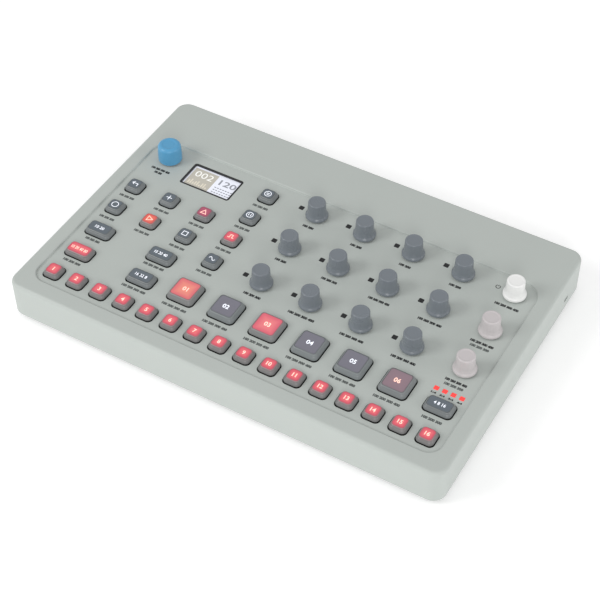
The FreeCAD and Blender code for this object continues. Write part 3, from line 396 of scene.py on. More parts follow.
class Mark(Enum):
    """Plain signs that a key or the panel can carry."""

    BACK = "back"
    RING = "ring"
    PLUS = "plus"
    PLAY = "play"
    BEAT = "beat"
    STOP = "stop"
    DISK = "disk"
    GRID = "grid"
    PULSE = "pulse"
    WAVE = "wave"
    POWER = "power"

    def strokes(self) -> list[tuple[np.ndarray, bool]]:
        """Return the sign's lines, each with whether it closes, in a square from -1 to 1."""
        across = np.linspace(-1, 1, 17)
        wave = np.stack([across, -0.55 * np.sin(across * math.pi)], axis=1)
        ring = arc(1.0, 0, 360, 24)[:-1]
        signs = {
            Mark.BACK: [(bent(0.95, -0.75, 0.95, 0.25, -0.75, 0.25), False),
                        (bent(-0.25, 0.85, -0.9, 0.25, -0.25, -0.35), False)],
            Mark.RING: [(ring, True)],
            Mark.PLUS: [(bent(-0.9, 0.0, 0.9, 0.0), False), (bent(0.0, -0.9, 0.0, 0.9), False)],
            Mark.PLAY: [(bent(-0.7, -0.9, 0.95, 0.0, -0.7, 0.9), True)],
            Mark.BEAT: [(bent(-0.9, -0.7, 0.9, -0.7, 0.0, 0.85), True)],
            Mark.STOP: [(bent(-0.75, -0.75, 0.75, -0.75, 0.75, 0.75, -0.75, 0.75), True)],
            Mark.DISK: [(ring, True), (bent(-0.55, 0.2, 0.55, 0.2), False),
                        (bent(-0.45, -0.3, 0.45, -0.3), False)],
            Mark.GRID: [(ring, True), (bent(-0.35, -0.4, -0.35, 0.4), False),
                        (bent(0.35, -0.4, 0.35, 0.4), False)],
            Mark.PULSE: [(bent(-1.0, -0.5, -0.4, -0.5, -0.4, 0.6, 0.4, 0.6, 0.4, -0.5, 1.0, -0.5), False)],
            Mark.WAVE: [(wave, False)],
            Mark.POWER: [(arc(1.0, -240, 60, 20), False), (bent(0.0, 0.25, 0.0, 1.2), False)],
        }
        return signs[self]

    def drawn(self, size: float, line: float, thick: float) -> Shell:
        """Draw the sign with bands."""
        return joined([ribbon(path * size, line, thick, closed) for path, closed in self.strokes()])


def new_group(name: str, inputs: dict[str, str], outputs: dict[str, str]) -> bpy.types.NodeTree:
    """Start a group of shader nodes with named sockets."""
    group = bpy.data.node_groups.new(name, "ShaderNodeTree")
    for direction, sockets in (("INPUT", inputs), ("OUTPUT", outputs)):
        for label, kind in sockets.items():
            group.interface.new_socket(name=label, in_out=direction, socket_type=f"NodeSocket{kind}")
    group.nodes.new("NodeGroupInput").name = "In"
    group.nodes.new("NodeGroupOutput").name = "Out"
    return group


class Wiring:
    """Short ways to add nodes to a tree and to join them."""

    def __init__(self, tree: bpy.types.NodeTree) -> None:
        """Keep the tree that nodes are added to."""
        self.tree = tree

    def node(self, kind: str, settings: dict | None = None, **inputs: object) -> bpy.types.Node:
        """Add a node."""
        made = self.tree.nodes.new(f"ShaderNode{kind}")
        for label, value in (settings or {}).items():
            setattr(made, label, value)
        self.feed(made, **inputs)
        return made

    def feed(self, node: bpy.types.Node, **inputs: object) -> None:
        """Join or set a node's inputs by name, with _ for a space."""
        for label, value in inputs.items():
            self.join(value, node.inputs[label.replace("_", " ")])

    def join(self, value: object, socket: bpy.types.NodeSocket) -> None:
        """Join an output to a socket, or set the socket to a constant."""
        if isinstance(value, bpy.types.NodeSocket):
            self.tree.links.new(value, socket)
        else:
            socket.default_value = value

    def math(self, operation: str, *values: object) -> bpy.types.NodeSocket:
        """Add a Math node and return its result."""
        made = self.node("Math", {"operation": operation})
        for index, value in enumerate(values):
            self.join(value, made.inputs[index])
        return made.outputs[0]

    def mix(self, share: object, first: object, second: object) -> bpy.types.NodeSocket:
        """Mix two colours by a share and return the result."""
        made = self.node("Mix", {"data_type": "RGBA"})
        for index, value in ((0, share), (6, first), (7, second)):
            self.join(value, made.inputs[index])
        return made.outputs[2]

    def ramp(self, value: object, low: object, high: object) -> bpy.types.NodeSocket:
        """Map a value from between two limits to between 0 and 1, smoothly."""
        made = self.node("MapRange", {"interpolation_type": "SMOOTHSTEP"})
        for label, part in (("Value", value), ("From Min", low), ("From Max", high)):
            self.join(part, made.inputs[label])
        return made.outputs["Result"]


def blank(name: str) -> tuple[Wiring, bpy.types.Node, bpy.types.NodeSocket, Material]:
    """Start a material and return its wiring, its shader, the place on the object and itself."""
    material = bpy.data.materials.new(name)
    material.use_nodes = True
    wires = Wiring(material.node_tree)
    place = wires.node("TexCoord").outputs["Object"]
    return wires, material.node_tree.nodes["Principled BSDF"], place, material


def moulded_group() -> bpy.types.NodeTree:
    """Build the look of moulded plastic: fine grain, slow drift of tone, faint cloudy gloss.

    Returns:
        A group that gives a colour, a roughness and a height from a place and a colour.
    """
    group = new_group(
        "moulded_surface",
        {"Place": "Vector", "Colour": "Color", "Drift": "Float", "Roughness": "Float", "Grain": "Float"},
        {"Colour": "Color", "Roughness": "Float", "Height": "Float"},
    )
    wires = Wiring(group)
    given = group.nodes["In"].outputs
    cloud = wires.node("TexNoise", Vector=given["Place"], Scale=28.0, Detail=3.0, Roughness=0.55)
    grain = wires.node("TexNoise", Vector=given["Place"], Scale=given["Grain"], Detail=2.0, Roughness=0.6)
    cell = wires.node("TexVoronoi", Vector=given["Place"], Scale=given["Grain"])
    centred = wires.math("SUBTRACT", cloud.outputs[0], 0.5)
    tone = wires.math("MULTIPLY_ADD", centred, given["Drift"], 1.0)
    speck = wires.math("MULTIPLY_ADD", wires.math("SUBTRACT", grain.outputs[0], 0.5), 0.06, tone)
    scaled = wires.node("VectorMath", {"operation": "SCALE"}, Vector=given["Colour"], Scale=speck)
    rough = wires.math("MULTIPLY_ADD", centred, 0.12, given["Roughness"])
    height = wires.math("ADD", wires.math("MULTIPLY", cell.outputs[0], 0.5), grain.outputs[0])
    wires.feed(group.nodes["Out"], Colour=scaled.outputs[0], Roughness=rough, Height=height)
    return group


@dataclass(frozen=True)
class Plastic:
    """A moulded plastic or rubber finish.

    Attributes:
        name: the material's name.
        colour: its colour, linear.
        roughness: how dull it is.
        drift: how far its tone wanders.
        grain: cells of its texture in a metre.
        depth: depth of that texture in millimetres.
        coat: share of a clear skin.
    """

    name: str
    colour: Three
    roughness: float
    drift: float = 0.06
    grain: float = 2600.0
    depth: float = 0.012
    coat: float = 0.0

    def start(self) -> tuple[Wiring, bpy.types.Node, bpy.types.Node, Material]:
        """Make the material and its moulded texture.

        Returns:
            The wiring, the shader node, the texture's group node and the material.
        """
        wires, shader, place, material = blank(self.name)
        texture = wires.node(
            "Group", {"node_tree": bpy.data.node_groups["moulded_surface"]}, Place=place,
            Colour=(*self.colour, 1.0), Drift=self.drift, Roughness=self.roughness, Grain=self.grain)
        bump = wires.node("Bump", Strength=0.5, Distance=self.depth * MM, Height=texture.outputs["Height"])
        wires.feed(shader, Base_Color=texture.outputs["Colour"], Roughness=texture.outputs["Roughness"],
                   Normal=bump.outputs["Normal"], Coat_Weight=self.coat)
        return wires, shader, texture, material

    def material(self) -> Material:
        """Return the finished material."""
        return self.start()[3]


@dataclass(frozen=True)
class LitPlastic(Plastic):
    """Dark translucent plastic with a window that a lamp below can light.

    The mesh says where the window is, with the attribute window, how strongly the lamp
    shows, with the attribute glow, and where painted gap shade darkens the side, with foot.

    Attributes:
        window: base colour of the window, linear; on a key whose lamp is on, its tint is painted lamp light.
        light: colour of the lamp's light near the window's edge, linear.
        core: colour of that light over the lamp.
        power: strength of that light.
    """

    window: Three = (0.16, 0.17, 0.2)
    light: Three = (0.0, 0.0, 0.0)
    core: Three = (0.0, 0.0, 0.0)
    power: float = 0.0

    def material(self) -> Material:
        """Return the finished material, with the window's colour and its light."""
        wires, shader, texture, material = self.start()
        window = wires.node("Attribute", {"attribute_name": "window"}).outputs["Fac"]
        glow = wires.node("Attribute", {"attribute_name": "glow"}).outputs["Fac"]
        foot = wires.node("Attribute", {"attribute_name": "foot"}).outputs["Fac"]
        colour = wires.mix(window, texture.outputs["Colour"], (*self.window, 1.0))
        # Painted shade: the side turns near-black where it sinks into its gap at and below the panel.
        gap_shade_colour = wires.mix(wires.math("POWER", foot, 1.4), colour, (0.004, 0.004, 0.004, 1.0))
        wires.feed(shader, Base_Color=gap_shade_colour)
        if self.power > 0:
            inner = wires.mix(wires.ramp(glow, 0.72, 1.0), (*self.light, 1.0), (*self.core, 1.0))
            light = wires.mix(glow, (0.0, 0.0, 0.0, 1.0), inner)
            wires.feed(shader, Emission_Color=light, Emission_Strength=self.power)
        return material


@dataclass(frozen=True)
class Metal:
    """A bare or blackened metal finish with fine turning lines.

    Attributes:
        name: the material's name.
        colour: its colour, linear.
        roughness: how dull it is.
    """

    name: str
    colour: Three
    roughness: float

    def material(self) -> Material:
        """Return the finished material."""
        wires, shader, place, material = blank(self.name)
        lines = wires.node("TexNoise", Vector=place, Scale=900.0, Detail=3.0, Roughness=0.7)
        stain = wires.node("TexNoise", Vector=place, Scale=140.0, Detail=2.0)
        rough = wires.math("MULTIPLY_ADD", stain.outputs[0], 0.15, self.roughness)
        tone = wires.math("MULTIPLY_ADD", lines.outputs[0], 0.2, 0.9)
        colour = wires.node("VectorMath", {"operation": "SCALE"}, Vector=self.colour, Scale=tone)
        bump = wires.node("Bump", Strength=0.4, Distance=0.01 * MM, Height=lines.outputs[0])
        wires.feed(shader, Base_Color=colour.outputs[0], Roughness=rough, Normal=bump.outputs["Normal"],
                   Metallic=1.0)
        return material


@dataclass(frozen=True)
class BoardFinish(Plastic):
    """Circuit boards with green solder mask, and black plastic for all that stands on them.

    Attributes:
        mask: colour of the solder mask, linear.
        levels: lower and upper face of each board, in millimetres.
    """

    mask: Three = (0.01, 0.07, 0.035)
    levels: tuple[Two, ...] = ((12.35, 14.03), (7.35, 9.03))

    def material(self) -> Material:
        """Return the finished material, green between the faces of each board."""
        wires, shader, texture, material = self.start()
        place = wires.node("TexCoord").outputs["Object"]
        height = wires.node("SeparateXYZ", Vector=place).outputs["Z"]
        masks = []
        for low, high in self.levels:
            above = wires.math("GREATER_THAN", height, low * MM)
            masks.append(wires.math("MULTIPLY", above, wires.math("LESS_THAN", height, high * MM)))
        green = wires.math("MAXIMUM", *masks)
        colour = wires.mix(green, texture.outputs["Colour"], (*self.mask, 1.0))
        wires.feed(shader, Base_Color=colour)
        return material


@dataclass(frozen=True)
class Finishes:
    """Every finish on the machine."""

    case: Plastic = Plastic("case_plastic", (0.475, 0.51, 0.485), 0.5, drift=0.05, grain=2200.0, depth=0.014)
    base: Plastic = Plastic("base_plastic", (0.035, 0.036, 0.038), 0.55, grain=1800.0, depth=0.03)
    rubber: Plastic = Plastic("foot_rubber", (0.022, 0.022, 0.023), 0.8, grain=1500.0, depth=0.03)
    ink: Plastic = Plastic("printed_ink", (0.014, 0.015, 0.016), 0.6, depth=0.002)
    pale_ink: Plastic = Plastic("pale_ink", (0.1, 0.112, 0.108), 0.6, depth=0.002)
    grey_knob: Plastic = Plastic("grey_knob", (0.182, 0.204, 0.228), 0.27, drift=0.04, depth=0.006)
    white_knob: Plastic = Plastic("white_knob", (0.86, 0.86, 0.85), 0.42, drift=0.02, depth=0.006)
    pale_knob: Plastic = Plastic("pale_knob", (0.57, 0.535, 0.54), 0.38, drift=0.03, depth=0.006)
    blue_knob: Plastic = Plastic("blue_knob", (0.095, 0.345, 0.58), 0.36, drift=0.04, depth=0.006)
    black: Plastic = Plastic("black_plastic", (0.012, 0.012, 0.013), 0.35, depth=0.004)
    lamp_off: Plastic = Plastic("lamp_window", (0.008, 0.009, 0.01), 0.45, depth=0.002)
    boards: BoardFinish = BoardFinish("circuit_board", (0.014, 0.014, 0.015), 0.45)
    steel: Metal = Metal("bare_steel", (0.56, 0.56, 0.57), 0.28)
    black_steel: Metal = Metal("black_steel", (0.07, 0.07, 0.075), 0.38)
    nickel: Metal = Metal("nickel_plate", (0.68, 0.65, 0.6), 0.2)


class Glow(Enum):
    """What shines under a key: the finish of its plastic."""

    # The window colour of each lit key and pad is tinted with painted lamp light, on top of the light it
    # gives off; unlit ones keep the window's own colour.
    OFF = LitPlastic("key_off", (0.19, 0.205, 0.21), 0.34, window=(0.125, 0.15, 0.175))
    RED = LitPlastic("key_red", (0.205, 0.2, 0.2), 0.34, window=(0.34, 0.07, 0.09),
                     light=(0.86, 0.06, 0.13), core=(1.0, 0.2, 0.2), power=0.55)
    ORANGE = LitPlastic("key_orange", (0.205, 0.2, 0.2), 0.34, window=(0.34, 0.07, 0.06),
                        light=(0.9, 0.08, 0.08), core=(1.0, 0.24, 0.14), power=0.55)
    PINK = LitPlastic("key_pink", (0.2, 0.2, 0.205), 0.34, window=(0.26, 0.07, 0.11),
                      light=(0.7, 0.08, 0.18), core=(0.8, 0.14, 0.24), power=0.28)
    PAD_OFF = LitPlastic("pad_off", (0.215, 0.235, 0.24), 0.36, window=(0.2, 0.195, 0.235))
    PAD_SALMON = LitPlastic("pad_salmon", (0.225, 0.23, 0.23), 0.36, window=(0.4, 0.13, 0.13),
                            light=(0.95, 0.11, 0.16), core=(1.0, 0.33, 0.2), power=0.5)
    PAD_ROSE = LitPlastic("pad_rose", (0.225, 0.23, 0.23), 0.36, window=(0.4, 0.11, 0.13),
                          light=(0.92, 0.08, 0.16), core=(1.0, 0.24, 0.24), power=0.5)
    PAD_MAUVE = LitPlastic("pad_mauve", (0.215, 0.23, 0.235), 0.36, window=(0.24, 0.18, 0.21),
                           light=(0.8, 0.3, 0.38), core=(1.0, 0.38, 0.46), power=0.06)


@dataclass
class Key:
    """One key: flange below the panel, leaning cap with a window, and the sign on it.

    Attributes:
        node: the key's node, which the cap replaces.
        glow: what shines under it.
        sign: plain figures, or a mark, on its window.
        panel: level of the control panel.
        lip: how far the flange stands out.
        skirt: top of the straight part, above the panel.
        lean: how far each side leans in.
        edge: radius of the top edge.
        corner: corner radius of the skirt.
        dish: depth of the hollow in the top.
        margin: from the top's edge to the window.
        soft: how far the window's edge is blurred.
        wide: a key longer than this carries a larger figure.
        print_share: thickness of the sign, as a share of the hollow that it fills.
        bulge: how far a side stands out from a straight slope.
        round_share: how much the corner radius shrinks for each step inwards.
        spread: distance over which the light fades outside the window.
        dim: how much darker the window's edge is than its middle.
        mark_half: half the side of a mark; mark_line is the width of its lines.
        row_start: width of a row of figures at no length; row_pitch is added for each sign.
        row_tall: height of that row; figure and tall_figure are those of single figures.
    """

    node: str
    glow: Glow
    sign: str | Mark
    panel: float
    lip: float = 1.0
    lip_top: float = -2.65
    lip_bottom: float = -3.65
    stem_bottom: float = -6.5
    stem_radius: float = 1.7
    skirt: float = 0.9
    lean: float = 0.85
    edge: float = 1.05
    corner: float = 2.6
    dish: float = 0.12
    margin: float = 0.12
    soft: float = 0.06
    wide: float = 12.0
    print_share: float = 0.75
    bulge: float = 0.22
    round_share: float = 0.55
    spread: float = 0.2
    dim: float = 0.3
    mark_half: float = 2.0
    mark_line: float = 0.36
    row_start: float = 2.0
    row_pitch: float = 0.78
    row_tall: float = 2.1
    figure: float = 2.6
    tall_figure: float = 2.9

    def cap(self) -> Shell:
        """Work out the cap.

        Rings of one rounded rectangle shrink and rise: stem, flange, straight skirt,
        leaning side with a slight bulge, arc of the top edge, then the top, whose hollow
        deepens as one minus the square of the distance from the middle.

        Returns:
            The closed cap, with where its window is, how strongly it glows and where painted gap shade
            darkens it.
        """
        low, high = box_mm(self.node)
        half = (high - low)[:2] / 2 - self.lip
        top = high[2] - self.panel
        side = np.linspace(0, 1, 7)
        turn = np.linspace(math.atan2(self.lean, top), math.pi / 2, 7)
        inset_side = self.lean * side - self.bulge * np.sin(side * math.pi) * side
        height_side = self.skirt + (top - self.edge - self.skirt) * side
        inset_edge = self.lean + self.edge * (1 - np.cos(turn))
        height_edge = top - self.edge * (1 - np.sin(turn))
        window = self.lean + self.edge + self.margin - 0.5
        inner = np.array([window - self.soft, window + self.soft])
        share = np.linspace(0, 1, 8)[1:]
        smaller = float(half.min())
        inset_top = inner[1] + (smaller - inner[1]) * share
        reach = (smaller - inset_top) / (smaller - window)
        inset = np.concatenate([[-self.lip, -self.lip, 0, 0], inset_side, inset_edge, inner, inset_top])
        height = np.concatenate([[self.lip_bottom, self.lip_top, self.lip_top, 0.0], height_side, height_edge,
                                 [top, top], top - self.dish * (1 - reach ** 2)])
        corner = np.maximum(self.corner - self.round_share * inset, 0.5) + np.where(inset < 0, self.lip, 0)
        half_x, half_y = half[0] - inset, half[1] - inset
        stem = np.array([0.0, self.stem_radius, self.stem_radius])
        half_x, half_y = np.concatenate([stem, half_x]), np.concatenate([stem, half_y])
        corner = np.concatenate([stem, np.minimum(corner, np.minimum(half_x[3:], half_y[3:]))])
        height = np.concatenate([[self.stem_bottom, self.stem_bottom, self.lip_bottom], height])
        inset = np.concatenate([[-9.0, -9.0, -9.0], inset])
        ring = SoftSquare.with_steps(3, 6)
        grid = ring.rings(half_x, half_y, corner, height)
        rings, sides = grid.shape[:2]
        window_share = (inset > window).astype(float)
        falloff = np.exp(-np.maximum(window - inset, 0) / self.spread) * (height > self.skirt)
        middle = 1 - self.dim * np.clip(1 - (inset - window) / (smaller - window), 0, 1) ** 2
        # foot marks the rings at and below the panel, where the material paints the shade of the key's gap.
        shade = {"window": np.repeat(window_share, sides), "glow": np.repeat(falloff * middle, sides),
                 "foot": np.repeat((height <= 0).astype(float), sides)}
        faces = ring_faces(rings, sides) + [tuple(range((rings - 1) * sides, rings * sides))]
        place = (low + high) / 2
        return Shell(grid.reshape(-1, 3), faces, shade).welded().placed(place[0], place[1], self.panel)

    def sign_shell(self) -> Shell:
        """Work out the sign on the window."""
        low, high = box_mm(self.node)
        size = (high - low)[:2] - 2 * self.lip
        thick = self.dish * self.print_share
        if isinstance(self.sign, Mark):
            shape = self.sign.drawn(self.mark_half, self.mark_line, thick)
        elif size[0] > size[1] + 1:
            width = self.row_start + self.row_pitch * len(self.sign)
            shape = digits(self.sign, self.row_tall, thick, width, 0.01)
        else:
            tall = self.tall_figure if size[0] > self.wide else self.figure
            shape = digits(self.sign, tall, thick, bold=0.015)
        middle = (low + high) / 2
        return shape.placed(middle[0], middle[1], high[2] - self.dish * 0.92)

    def build(self, cap_finish: Material, print_finish: Material, slot: str) -> None:
        """Add the cap and its sign, both riding on the key's body."""
        cap = self.cap().piece(f"{self.node}_cap", self.node, cap_finish)
        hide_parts(self.node)
        self.sign_shell().piece(f"{self.node}_sign", self.node, print_finish)
        LOG.info("built %s", self.node)


@dataclass
class KeyField:
    """All the keys and track pads.

    Attributes:
        panel: level of the control panel.
        step_keys: number of step keys.
        pads: what shines under each track pad.
        others: light and sign of each other key, by its node's name.
    """

    panel: float
    step_keys: int = 16
    pads: tuple[Glow, ...] = (Glow.PAD_SALMON, Glow.PAD_OFF, Glow.PAD_ROSE, Glow.PAD_OFF, Glow.PAD_OFF,
                              Glow.PAD_MAUVE)
    others: dict[str, tuple[Glow, Mark | str]] = field(default_factory=lambda: {
        "back_key": (Glow.OFF, Mark.BACK),
        "record_key": (Glow.OFF, Mark.RING),
        "save_key": (Glow.OFF, Mark.PLUS),
        "play_key": (Glow.ORANGE, Mark.PLAY),
        "tempo_key": (Glow.PINK, Mark.BEAT),
        "stop_key": (Glow.OFF, Mark.STOP),
        "preset_key": (Glow.OFF, Mark.DISK),
        "quantize_key": (Glow.OFF, Mark.GRID),
        "click_key": (Glow.RED, Mark.PULSE),
        "lfo_key": (Glow.OFF, Mark.WAVE),
        "function_key": (Glow.OFF, "10 20"),
        "retrig_key": (Glow.OFF, "10 20 40"),
        "pattern_key": (Glow.RED, "10 20 40 80"),
        "track_key": (Glow.OFF, "16 32 8"),
        "page_key": (Glow.OFF, "4 8 16"),
    })

    def keys(self) -> list[tuple[Key, str]]:
        """List every key with the slot of its plastic."""
        found = []
        for index in range(1, self.step_keys + 1):
            found.append((Key(f"step_key_{index:02d}", Glow.RED, str(index), self.panel), "key_plastic"))
        for index, glow in enumerate(self.pads, start=1):
            node, figures = f"track_pad_{index}", f"{index:02d}"
            pad = Key(node, glow, figures, self.panel, margin=0.55, dish=0.2, soft=0.22)
            found.append((pad, "pad_plastic"))
        for node, (glow, mark) in self.others.items():
            found.append((Key(node, glow, mark, self.panel), "key_plastic"))
        return found

    def build(self) -> None:
        """Add every key."""
        caps = {glow: glow.value.material() for glow in Glow}
        lit_sign = LitSign("lit_sign", (1.0, 0.6, 0.5), 0.62).material()
        # Signs on keys whose lamps are off still get a faint painted glow on their white print.
        plain_sign_glow = LitSign("plain_sign_glow", (0.9, 0.93, 1.0), 0.4).material()
        dark = (Glow.OFF, Glow.PAD_OFF)
        for key, slot in self.keys():
            key.build(caps[key.glow], plain_sign_glow if key.glow in dark else lit_sign, slot)


@dataclass(frozen=True)
class LitSign:
    """White translucent print with light behind it.

    Attributes:
        name: the material's name.
        light: colour of the light, linear.
        power: its strength.
    """

    name: str
    light: Three
    power: float

    def material(self) -> Material:
        """Return the finished material, with a faint mottle in its light."""
        wires, shader, place, material = blank(self.name)
        mottle = wires.node("TexNoise", Vector=place, Scale=700.0, Detail=1.0)
        tone = wires.math("MULTIPLY_ADD", mottle.outputs[0], 0.3, 0.85)
        colour = wires.node("VectorMath", {"operation": "SCALE"}, Vector=self.light, Scale=tone)
        wires.feed(shader, Base_Color=colour.outputs[0], Emission_Color=colour.outputs[0],
                   Emission_Strength=self.power, Roughness=0.5)
        return material


@dataclass
class Knob:
    """What every knob shares.

    Attributes:
        node: the knob's node, which its pieces stand for.
        panel: level of the control panel; the other heights are above it.
    """

    node: str
    panel: float
    bottom: float = 0.9
    skirt_top: float = 2.1
    bore: float = 3.06
    wall: float = 1.2
    sides: int = 64

    def top(self) -> float:
        """Return the height of the knob."""
        return box_mm(self.node)[1][2] - self.panel

    def hollow(self, bore_top: float, inside: float) -> list[Three]:
        """List the corners of the bore and of the hollow foot, from the axis outwards."""
        return [
            (0, bore_top, 0),
            (self.bore, bore_top, 0),
            (self.bore, self.skirt_top + 0.6, 0),
            (inside, self.skirt_top - 0.6, 0.5),
            (inside, self.bottom, 0.1),
        ]

    def stand(self, outline: np.ndarray, sides: int) -> Shell:
        """Turn an outline round the knob's axis."""
        x, y, _ = centre_mm(self.node)
        return turned(outline, sides).placed(x, y, self.panel)


@dataclass
class SmallKnob(Knob):
    """A knob with a flared skirt on its control shaft."""

    skirt_radius: float = 6.65
    waist: float = 4.9
    waist_radius: float = 5.4
    top_radius: float = 5.05
    dish_radius: float = 3.9
    dish: float = 0.22
    bore_top: float = 9.8
    shaft_radius: float = 3.0

    def cap(self) -> Shell:
        """Turn the knob's outline: bore, hollow skirt, flare, taper, eased rim and shallow dish."""
        top = self.top()
        outline = eased(self.hollow(self.bore_top, self.skirt_radius - self.wall) + [
            (self.skirt_radius, self.bottom, 0.4),
            (self.skirt_radius, self.skirt_top + 0.05, 0.9),
            (self.skirt_radius - 0.75, self.skirt_top + 1.1, 1.0),
            (self.waist_radius, self.waist, 4.0),
            (self.top_radius, top, 0.75),
            (self.dish_radius + 0.25, top, 0.3),
            (self.dish_radius - 0.35, top - self.dish, 0.5),
            (0, top - self.dish, 0),
        ], steps=7)
        return self.stand(outline, self.sides)

    def shaft(self) -> Shell:
        """Turn the control shaft, with an eased upper end."""
        radius, top = self.shaft_radius, self.bore_top - 0.05
        bottom = box_mm(self.node)[0][2] - self.panel
        outline = eased([(0, bottom, 0), (radius, bottom, 0.3), (radius, top, 0.4), (0, top, 0)], 4)
        return self.stand(outline, 32)

    def build(self, finish: Material, steel: Material, slot: str) -> None:
        """Add the cap and the shaft, both riding on the knob's body."""
        cap = self.cap().piece(f"{self.node}_cap", self.node, finish)
        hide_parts(self.node)
        shaft = self.shaft().piece(f"{self.node}_shaft", self.node, steel)
        LOG.info("built %s", self.node)


@dataclass
class LargeKnob(Knob):
    """The endless knob at the left, on its push shaft."""

    sides: int = 80
    radius: float = 7.1
    waist: float = 5.5
    top_radius: float = 6.8
    dish_radius: float = 4.0
    dish: float = 0.3
    bore_top: float = 10.0

    def cap(self) -> Shell:
        """Turn the knob's outline: bore, hollow foot, upright side, taper, round shoulder and dish."""
        top = self.top()
        outline = eased(self.hollow(self.bore_top, self.radius - self.wall) + [
            (self.radius, self.bottom, 0.7),
            (self.radius, self.waist, 8.0),
            (self.top_radius, top, 2.4),
            (self.dish_radius + 0.3, top, 0.4),
            (self.dish_radius - 0.5, top - self.dish, 0.8),
            (0, top - self.dish, 0),
        ], steps=9)
        return self.stand(outline, self.sides)

    def build(self, finish: Material) -> None:
        """Add the cap, riding on the knob's body."""
        cap = self.cap().piece("level_data_knob_cap", self.node, finish)
        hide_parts(self.node)
        LOG.info("built %s", self.node)


@dataclass
class KnobField:
    """All the knobs.

    Attributes:
        panel: level of the control panel.
        rows: nodes of the small knobs, by row from the rear.
        special: slot of each small knob that isn't grey.
    """

    panel: float
    rows: tuple[tuple[str, ...], ...] = (
        ("pitch_knob", "decay_knob", "color_knob", "shape_knob", "main_volume_knob"),
        ("sweep_knob", "contour_knob", "delay_send_knob", "reverb_send_knob", "reverb_size_knob"),
        ("lfo_speed_knob", "volume_distortion_knob", "swing_knob", "chance_knob", "delay_time_knob"),
    )
    special: dict[str, str] = field(default_factory=lambda: {
        "main_volume_knob": "knob_white", "reverb_size_knob": "knob_pale", "delay_time_knob": "knob_pale"})

    def build(self, finishes: Finishes, steel: Material) -> None:
        """Add every knob."""
        plastics = {"knob_grey": finishes.grey_knob.material(), "knob_white": finishes.white_knob.material(),
                    "knob_pale": finishes.pale_knob.material()}
        for names in self.rows:
            for node in names:
                slot = self.special.get(node, "knob_grey")
                SmallKnob(node, self.panel).build(plastics[slot], steel, slot)
        LargeKnob("level_data_knob", self.panel).build(finishes.blue_knob.material())


class DisplayFinish:
    """The lit face of the display, in two blocks."""

    @staticmethod
    def material(name: str, light: Three, power: float) -> Material:
        """Make the glossy face with its grid of picture cells.

        Args:
            name: the material's name.
            light: colour of its light, linear.
            power: strength of that light.

        Returns:
            The finished material.
        """
        wires, shader, place, material = blank(name)
        square = {"feature": "F1", "distance": "CHEBYCHEV"}
        cells = wires.node("TexVoronoi", square, Vector=place, Scale=4200.0, Randomness=0.0)
        shine = wires.math("MULTIPLY_ADD", wires.ramp(cells.outputs["Distance"], 0.5, 0.42), 0.1, 0.9)
        colour = wires.node("VectorMath", {"operation": "SCALE"}, Vector=light, Scale=shine)
        wires.feed(shader, Base_Color=colour.outputs[0], Emission_Color=colour.outputs[0],
                   Emission_Strength=power, Roughness=0.25)
        return material


